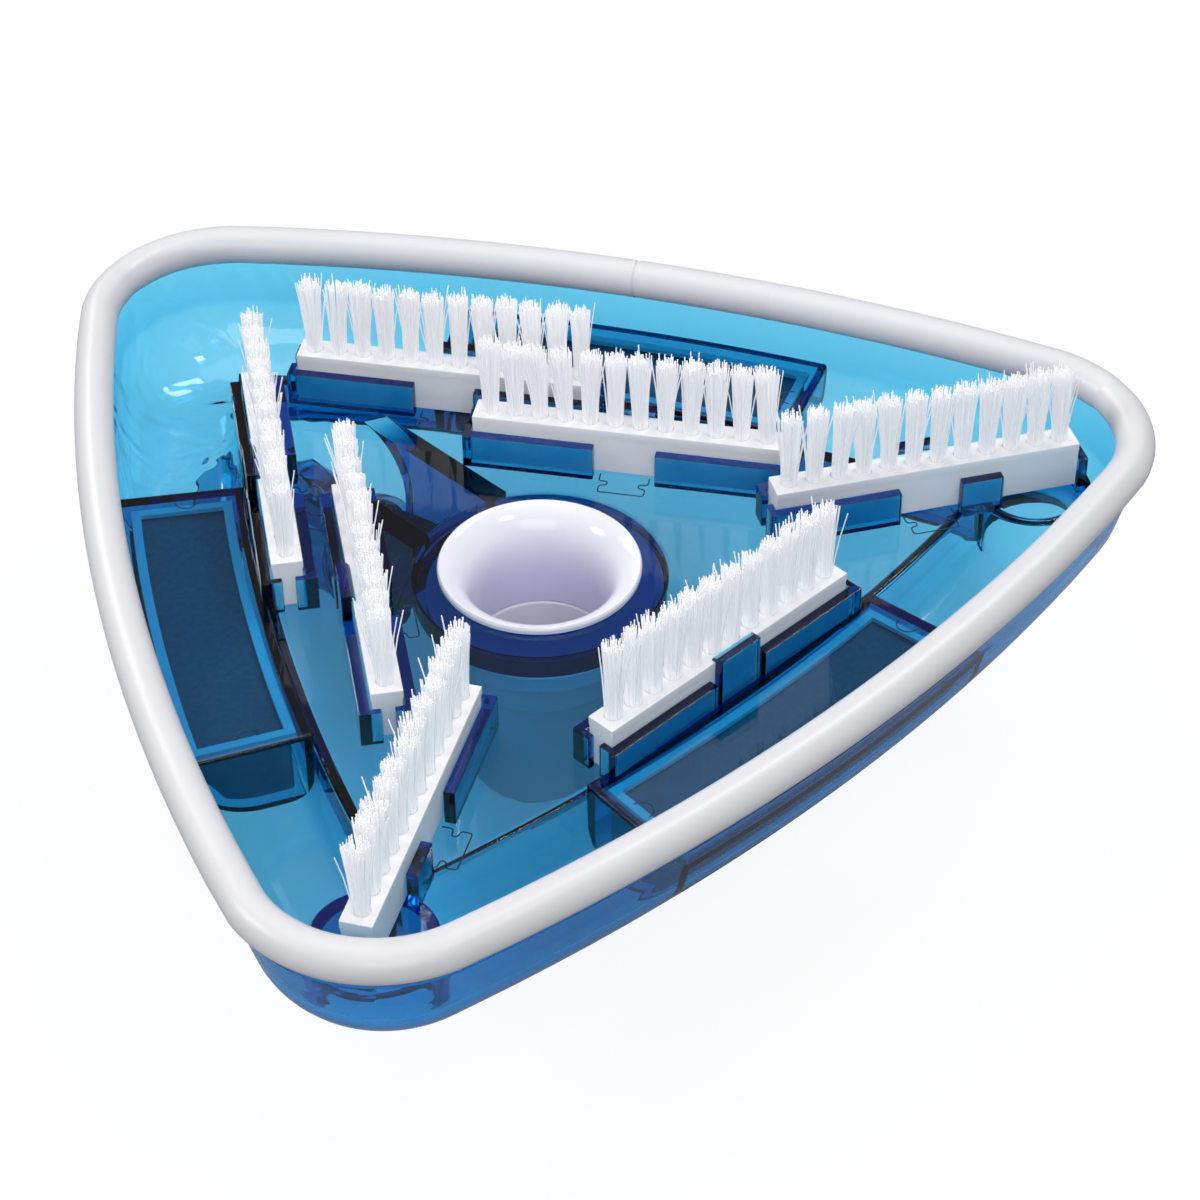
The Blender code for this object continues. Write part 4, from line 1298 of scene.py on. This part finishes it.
def add_thread_line(bm: bmesh.types.BMesh, line: list[Vector], radius: float, sides: int = 6) -> None:
    """Adds a thin round line along a path.

    Args:
        bm: The mesh to add to.
        line: The path's points.
        radius: The line's radius.
        sides: Facets round it.
    """
    loops = []
    for index, point in enumerate(line):
        before, after = line[max(index - 1, 0)], line[min(index + 1, len(line) - 1)]
        along = (after - before).normalized()
        across = along.cross(Vector((0, 0, 1))).normalized()
        up = across.cross(along)
        loops.append([bm.verts.new(point + radius * (math.cos(a) * across + math.sin(a) * up))
                      for a in (2 * math.pi * i / sides for i in range(sides))])
    bm.faces.new(loops[0][::-1])
    bm.faces.new(loops[-1])
    add_walls(bm, loops)


@dataclass
class Edging:
    """The white vinyl bumper: a bead with a slot, wrapped round the rim with its ends butted."""

    outline: Outline
    radius: float = 5 * MM
    height: float = 17.1 * MM
    lip: float = 62.0
    steps: int = 44
    rim_half: float = 1.25 * MM
    rim_top: float = 18.3 * MM
    seam_side: float = math.radians(30)
    seam_offset: float = math.radians(1.5)
    seam_depth: float = 0.45 * MM
    seam_width: float = 0.35 * MM
    line_angle: float = 212.0
    line_depth: float = 0.28 * MM
    line_width: float = 4.0

    def angles(self) -> list[float]:
        """Directions of the edging's rings, with more of them at the seam and the pinch.

        Returns:
            The directions in order.
        """
        found = [a % (2 * math.pi) for a in self.outline.angles()]
        reach = self.outline.middle
        spots = [offset * self.seam_width / reach
                 for offset in (-4, -2.4, -1.5, -1, -0.5, 0, 0.5, 1, 1.5, 2.4, 4)]
        seam = self.seam_side + self.seam_offset
        found = [a for a in found if abs(a - seam) > 4.5 * self.seam_width / reach]
        found += [seam + spot for spot in spots]
        found += [pinch + step * math.radians(0.4)
                  for pinch, _, _ in self.pinches() for step in range(-7, 8)]
        found.sort()
        kept = [found[0]]
        for angle in found[1:]:
            if angle - kept[-1] > 1e-5:
                kept.append(angle)
        return kept

    @staticmethod
    def pinches() -> list[tuple[float, float, float]]:
        """Small folds where the vinyl was bent: direction, depth and half width in radians."""
        return [(math.radians(333.2), 0.5 * MM, math.radians(0.8)),
                (math.radians(11.0), 0.25 * MM, math.radians(0.7)),
                (math.radians(93.0), 0.2 * MM, math.radians(0.9))]

    def bead(self, turn: float, angle: float) -> float:
        """The bead's radius at one place.

        Args:
            turn: Angle round the section, in degrees; 180 is the outside.
            angle: Direction from the hub.

        Returns:
            The radius.
        """
        radius = self.radius
        away = (angle - self.seam_side - self.seam_offset) * self.outline.middle / self.seam_width
        radius -= self.seam_depth * math.exp(-away ** 2)
        radius -= self.line_depth * math.exp(-((turn - self.line_angle) / self.line_width) ** 2)
        for direction, depth, width in self.pinches():
            spread = ((angle - direction) / width) ** 2
            inward = 0.5 + 0.5 * math.cos(math.radians(turn - 20))
            radius -= depth * inward * math.exp(-spread)
        return radius

    def mesh(self) -> bpy.types.Mesh:
        """The edging as a skin of sections.

        Returns:
            The mesh.
        """
        angles = self.angles()
        slot = self.rim_half + GAP
        low = self.height - self.radius * math.sin(math.radians(self.lip))
        slot_points = [(-slot, low + 0.3 * MM), (-slot, self.rim_top + GAP), (slot, self.rim_top + GAP),
                       (slot, low + 0.3 * MM)]
        turns = [-self.lip + (180 + 2 * self.lip) * i / self.steps for i in range(self.steps + 1)]
        rings = []
        for turn in turns:
            t = math.radians(turn)
            ring = []
            for angle in angles:
                radius = self.bead(turn, angle)
                inset, height = radius * math.cos(t), self.height + radius * math.sin(t)
                ring += self.outline.ring(inset, height, [angle])
            rings.append(ring)
        rings += [self.outline.ring(*point, angles) for point in slot_points]
        return skin("edging", rings)

    def build(self, bench: Bench) -> None:
        """Makes the edging."""
        bench.settle(self.mesh(), "vinyl_edging", bench.palette.vinyl, Body.HEAD,
                     ("bumper",), smooth=48)


@dataclass
class HosePort:
    """The white throat and nozzle that turn in the hub, and the rubber washer between."""

    bore: float = 20 * MM
    wall: float = 2.4 * MM
    flare: float = 25.5 * MM
    flare_height: float = 1.9 * MM
    flare_depth: float = 9 * MM
    sleeve: float = 25 * MM
    hub_depth: float = 10 * MM
    seat: float = 24 * MM
    seat_depth: float = 4 * MM
    seal: float = 2 * MM
    collar: float = 28.5 * MM
    collar_thick: float = 4.5 * MM
    socket: float = 3 * MM
    nozzle: float = 19.05 * MM
    nozzle_wall: float = 2.2 * MM

    def throat_profile(self) -> list[Point]:
        """The throat: a rolled lip, a flare that runs in to the bore, and a straight sleeve.

        Returns:
            The profile.
        """
        sleeve = self.bore - GAP
        bore = sleeve - self.wall
        lip = self.flare - self.wall / 2
        top = self.flare_height
        edge = [(self.flare - 0.4 * MM, top), (self.flare, top - self.wall / 4), (self.flare, GAP)]
        outside = rounded(edge, 0.8 * MM, 4, closed=False)
        outside += [(self.seat - GAP, GAP), (sleeve, GAP - self.seat_depth), (sleeve, -self.sleeve),
                    (bore, -self.sleeve)]
        drop = top + self.flare_depth
        bends = [(lip + 0.4 * MM, top), (bore + 0.55 * (lip - bore), top - 0.12 * drop),
                 (bore, top - 0.42 * drop), (bore, -drop)]
        inside = bezier(bends, 24)
        return outside + inside[::-1]

    def nozzle_profile(self) -> list[Point]:
        """The nozzle: collar, socket over the throat, and the tail that the hose goes on.

        Returns:
            The profile.
        """
        top = -self.hub_depth - self.seal - 2 * GAP
        low = top - self.collar_thick
        socket, socket_low = self.bore + self.socket, -self.sleeve - GAP
        inside = self.nozzle - self.nozzle_wall
        points = [(self.collar, top), (self.collar, low), (socket, low - MM),
                  (socket, socket_low - self.socket), (self.nozzle, socket_low - 2 * self.socket),
                  (self.nozzle, -UP_TO_DECK), (inside, -UP_TO_DECK), (inside, socket_low),
                  (self.bore, socket_low), (self.bore, top)]
        return rounded(points, 0.6 * MM, 3)

    def build(self, bench: Bench) -> None:
        """Makes the throat, the washer and the nozzle."""
        bench.settle(turned("throat", self.throat_profile(), 128), "flared_throat", bench.palette.port,
                     Body.HOSE_PORT, ("hub_throat",), smooth=40)
        bench.settle(turned("nozzle", self.nozzle_profile(), 128), "hose_tail", bench.palette.tail,
                     Body.HOSE_PORT, ("hose_nozzle",), smooth=40)
        top = -self.hub_depth - GAP
        low = top - self.seal
        seal = rounded([(self.collar, top), (self.collar, low), (self.bore, low), (self.bore, top)],
                       0.4 * MM, 3)
        bench.settle(turned("washer", seal, 96), "swivel_washer", bench.palette.seal, Body.HEAD,
                     ("swivel_seal",), smooth=40)


@dataclass
class PoleHandle:
    """The handle on the bracket's pin, with its two snap buttons and their V spring."""

    shell: Shell
    tongue: float = 9.5 * MM
    length: float = 78 * MM
    radius: float = 14 * MM
    wall: float = 2.5 * MM
    start: float = 14 * MM
    floor: float = 4 * MM
    stop_radius: float = 16 * MM
    stop_thick: float = 3 * MM
    station: float = 52 * MM
    button: float = 3.1 * MM
    button_reach: float = 4.2 * MM
    flange: float = 4.6 * MM
    flange_thick: float = 1.4 * MM
    flange_x: float = 9.8 * MM
    spring_thick: float = 0.8 * MM
    spring_width: float = 8 * MM
    spring_bend: float = 2.4 * MM
    spring_start: float = 24 * MM
    pin_head: float = 5.5 * MM
    pin_head_thick: float = 2.5 * MM
    nut_thick: float = 3.5 * MM

    @property
    def pivot(self) -> Matrix:
        """The pin's axis, from the hub."""
        return Matrix.Translation((0, *self.shell.pivot))

    @property
    def droop(self) -> Matrix:
        """The handle's place at rest: on the pin, and hanging until its end is just off the table."""
        over = UP_TO_DECK + self.shell.pivot[1] - GAP
        angle = math.asin(over / math.hypot(self.length, self.radius))
        angle -= math.atan(self.radius / self.length)
        return self.pivot @ Matrix.Rotation(-angle, 4, "X")

    def handle_mesh(self) -> bpy.types.Mesh:
        """The handle: a tongue between the ears, a collar for the pole, and a hollow round bar.

        Returns:
            The mesh.
        """
        inside, stop = self.radius - self.wall, self.start + self.stop_thick
        floor = self.start + self.floor
        profile = [(0, floor), (inside, floor), (inside, self.length), (self.radius, self.length),
                   (self.radius, stop), (self.stop_radius, stop), (self.stop_radius, self.start),
                   (0, self.start)]
        profile = rounded(profile, 0.8 * MM, 4, closed=False)
        bar = turned("handle", profile, 96, Matrix.Rotation(-math.pi / 2, 4, "X"))
        root = self.start + self.floor / 2
        side = circle(self.tongue, 90, 180, 24) + [(root, -self.tongue), (root, self.tongue)]
        half = self.shell.ear_inner - GAP
        tongue = prism("tongue", [side], -half, half, 0.5 * MM, SIDE_VIEW)
        pin = cylinder("pin_hole", self.shell.pin_radius + GAP, -2 * half, 2 * half, ACROSS)
        across = Matrix.Translation((0, self.station, 0)) @ ACROSS
        holes = cylinder("holes", self.button + GAP, -2 * self.radius, 2 * self.radius, across)
        return carved(bar, [(Cut.JOIN, tongue), (Cut.REMOVE, pin), (Cut.REMOVE, holes)])

    def button_profile(self) -> list[Point]:
        """A snap button: round-nosed pin on a flange."""
        tip, back = self.radius + self.button_reach, self.flange_x - self.flange_thick
        nose = circle(self.button, 90, -78, 10, (0, 0))
        dome = [(r, tip - 0.45 * (self.button - z)) for r, z in nose]
        dome[0] = (0, tip)
        body = [(self.button, self.flange_x), (self.flange, self.flange_x), (self.flange, back),
                (0, back)]
        return dome + [(self.button, dome[-1][1] - 0.4 * MM)] + body

    def spring_outline(self) -> list[Point]:
        """Plan of the V spring: a bend and two arms that end under the buttons.

        Returns:
            The outline.
        """
        back = self.flange_x - self.flange_thick
        target = Vector((back - GAP, self.station + self.flange - self.spring_start))
        spread = math.atan2(target.x, target.y) - math.asin(self.spring_bend / target.length)
        arm = math.sqrt(target.length ** 2 - self.spring_bend ** 2)
        along = Vector((math.sin(spread), math.cos(spread)))
        outline = []
        for radius, order in ((self.spring_bend, 1), (self.spring_bend - self.spring_thick, -1)):
            turn = math.degrees(math.pi - 2 * spread)
            bend = [Vector(p) for p in circle(radius, -math.degrees(spread), -turn, 16)]
            path = [bend[0] + along * arm] + bend + [Vector((-along.x, along.y)) * arm + bend[-1]]
            outline += [(p.x, p.y + self.spring_start) for p in path[::order]]
        return outline

    def build(self, bench: Bench) -> None:
        """Makes the handle, its buttons and spring, and the pin with its nut."""
        steel, slot = bench.palette.steel, "stainless_steel"
        bench.settle(self.handle_mesh(), "pole_socket_handle", bench.palette.shell, Body.HANDLE,
                     ("pole_handle",), self.droop)
        reach = self.spring_width / 2
        spring = prism("spring", [self.spring_outline()], -reach, reach, 0.1 * MM)
        bench.settle(spring, "v_spring", steel, Body.HANDLE, ("clip_spring",), self.droop)
        for label, sign, body in (("left", -1, Body.BUTTON_LEFT), ("right", 1, Body.BUTTON_RIGHT)):
            outward = Matrix.Rotation(sign * math.pi / 2, 4, "Y")
            place = self.droop @ Matrix.Translation((0, self.station, 0)) @ outward
            bench.settle(turned("button", self.button_profile(), 48), f"button_{label}_steel", steel,
                         body, (f"snap_button_{label}",), place)
        face = self.shell.ear_inner + self.shell.ear_thick + GAP
        end = face + self.nut_thick + GAP
        radius = self.shell.pin_radius
        back = -face - self.pin_head_thick
        pin = [(0, end), (radius - 0.4 * MM, end), (radius, end - 0.4 * MM), (radius, -face),
               (self.pin_head, -face), (self.pin_head, 0.5 * MM + back),
               (self.pin_head - 0.5 * MM, back), (0, back)]
        bench.settle(turned("pin", pin, 64, ACROSS), "bracket_pin", steel, Body.HEAD,
                     ("pivot_pin",), self.pivot)
        hexagon, far = circle(self.pin_head, 0, 300, 5), face + self.nut_thick
        nut = prism("nut", [hexagon], face, far, 0.25 * MM, ACROSS)
        bore = cylinder("bore", radius + GAP, face - MM, far + MM, ACROSS)
        bench.settle(carved(nut, [(Cut.REMOVE, bore)]), "bracket_pin_nut", steel, Body.HEAD,
                     ("pivot_nut",), self.pivot)


@dataclass(frozen=True)
class Softbox:
    """A rectangular studio lamp that points at the head."""

    name: str
    place: tuple[float, float, float]
    size: tuple[float, float]
    radiance: float

    def build(self, target: Vector) -> None:
        """Hangs the lamp.

        Args:
            target: What it points at.
        """
        lamp = bpy.data.lights.new(self.name, "AREA")
        lamp.shape = "RECTANGLE"
        lamp.size, lamp.size_y = self.size
        lamp.energy = self.radiance * math.pi * self.size[0] * self.size[1]
        obj = bpy.data.objects.new(self.name, lamp)
        obj.location = self.place
        obj.rotation_euler = (target - obj.location).to_track_quat("-Z", "Y").to_euler()
        bpy.context.scene.collection.objects.link(obj)


@dataclass
class Studio:
    """White table, lamps and camera."""

    table_size: float = 40.0
    aim: tuple[float, float, float] = (0, 0, 0.06)
    horizon_sharpness: float = 6.0
    ambient: float = 0.18
    zenith: float = 0.85
    softboxes: tuple[Softbox, ...] = (
        Softbox("key_softbox", (-1.02, 0.84, 0.95), (0.4, 0.4), 12.0),
        Softbox("front_spot", (0.16, -0.9, 1.5), (0.32, 0.26), 15.0),
        Softbox("right_strip", (1.12, 0.0, 1.8), (0.45, 0.8), 8.0),
        Softbox("rear_strip", (0.19, 1.52, 1.14), (0.8, 0.3), 9.0),
        Softbox("overhead_softbox", (0.0, 0.1, 1.8), (1.2, 1.2), 0.8),
        Softbox("front_softbox", (-1.1, -1.2, 1.1), (1.5, 1.1), 2.5),
    )
    camera_place: tuple[float, float, float] = (-0.41711, -0.474446, 0.572963)
    camera_turn: tuple[float, float, float] = (49.730, 0.447, -44.6185)
    lens: float = 96.336
    sensor: float = 36.0

    def build(self, bench: Bench) -> None:
        """Sets up the table, the lamps, the pale surroundings and the camera."""
        half = self.table_size / 2
        table = bpy.data.meshes.new("white_table")
        table.from_pydata([(-half, -half, 0), (half, -half, 0), (half, half, 0), (-half, half, 0)], [],
                          [(0, 1, 2, 3)])
        table.materials.append(bench.material(bench.palette.table))
        floor = bpy.data.objects.new("white_table", table)
        bpy.context.scene.collection.objects.link(floor)
        for softbox in self.softboxes:
            softbox.build(Vector(self.aim))
        self.surroundings()
        self.camera()
        bpy.context.scene.view_settings.view_transform = "Standard"

    def surroundings(self) -> None:
        """A pale room: dim for what the pieces mirror, white where it is looked at."""
        world = bpy.data.worlds.new("studio")
        bpy.context.scene.world = world
        world.use_nodes = True
        tree = world.node_tree
        background = tree.nodes["Background"]
        background.inputs["Color"].default_value = srgb("FFFFFF")
        ray = add_node(tree, "ShaderNodeLightPath")
        direction = add_node(tree, "ShaderNodeTexCoord").outputs["Generated"]
        upward = add_node(tree, "ShaderNodeSeparateXYZ", {}, {0: direction}).outputs["Z"]
        height = add_node(tree, "ShaderNodeMath", {"operation": "MAXIMUM", 1: 0.0}, {0: upward})
        rise = add_node(tree, "ShaderNodeMath", {"operation": "POWER", 1: self.horizon_sharpness},
                        {0: height.outputs[0]})
        sky = add_node(tree, "ShaderNodeMapRange",
                       {"To Min": self.ambient, "To Max": self.ambient + self.zenith},
                       {"Value": rise.outputs[0]})
        level = add_node(tree, "ShaderNodeMapRange", {"To Max": 1.0},
                         {"Value": ray.outputs["Is Camera Ray"], "To Min": sky.outputs["Result"]})
        tree.links.new(level.outputs["Result"], background.inputs["Strength"])

    def camera(self) -> None:
        """Places the camera as the product was seen."""
        data = bpy.data.cameras.new("camera")
        data.lens, data.sensor_width = self.lens, self.sensor
        data.clip_start, data.clip_end = 0.01, 100.0
        camera = bpy.data.objects.new("camera", data)
        camera.location = self.camera_place
        camera.rotation_euler = [math.radians(v) for v in self.camera_turn]
        bpy.context.scene.collection.objects.link(camera)
        bpy.context.scene.camera = camera


def main() -> None:
    """Builds every sub-assembly in order and reports its pieces."""
    logging.basicConfig(level=logging.INFO, format="%(name)s %(message)s")
    bench = Bench()
    outline = Outline()
    brushes = Brushes(outline)
    shell = Shell(outline, brushes)
    shell.build(bench)
    Edging(outline).build(bench)
    brushes.build(bench)
    HosePort().build(bench)
    PoleHandle(shell).build(bench)
    Studio().build(bench)


if __name__ == "__main__":
    main()
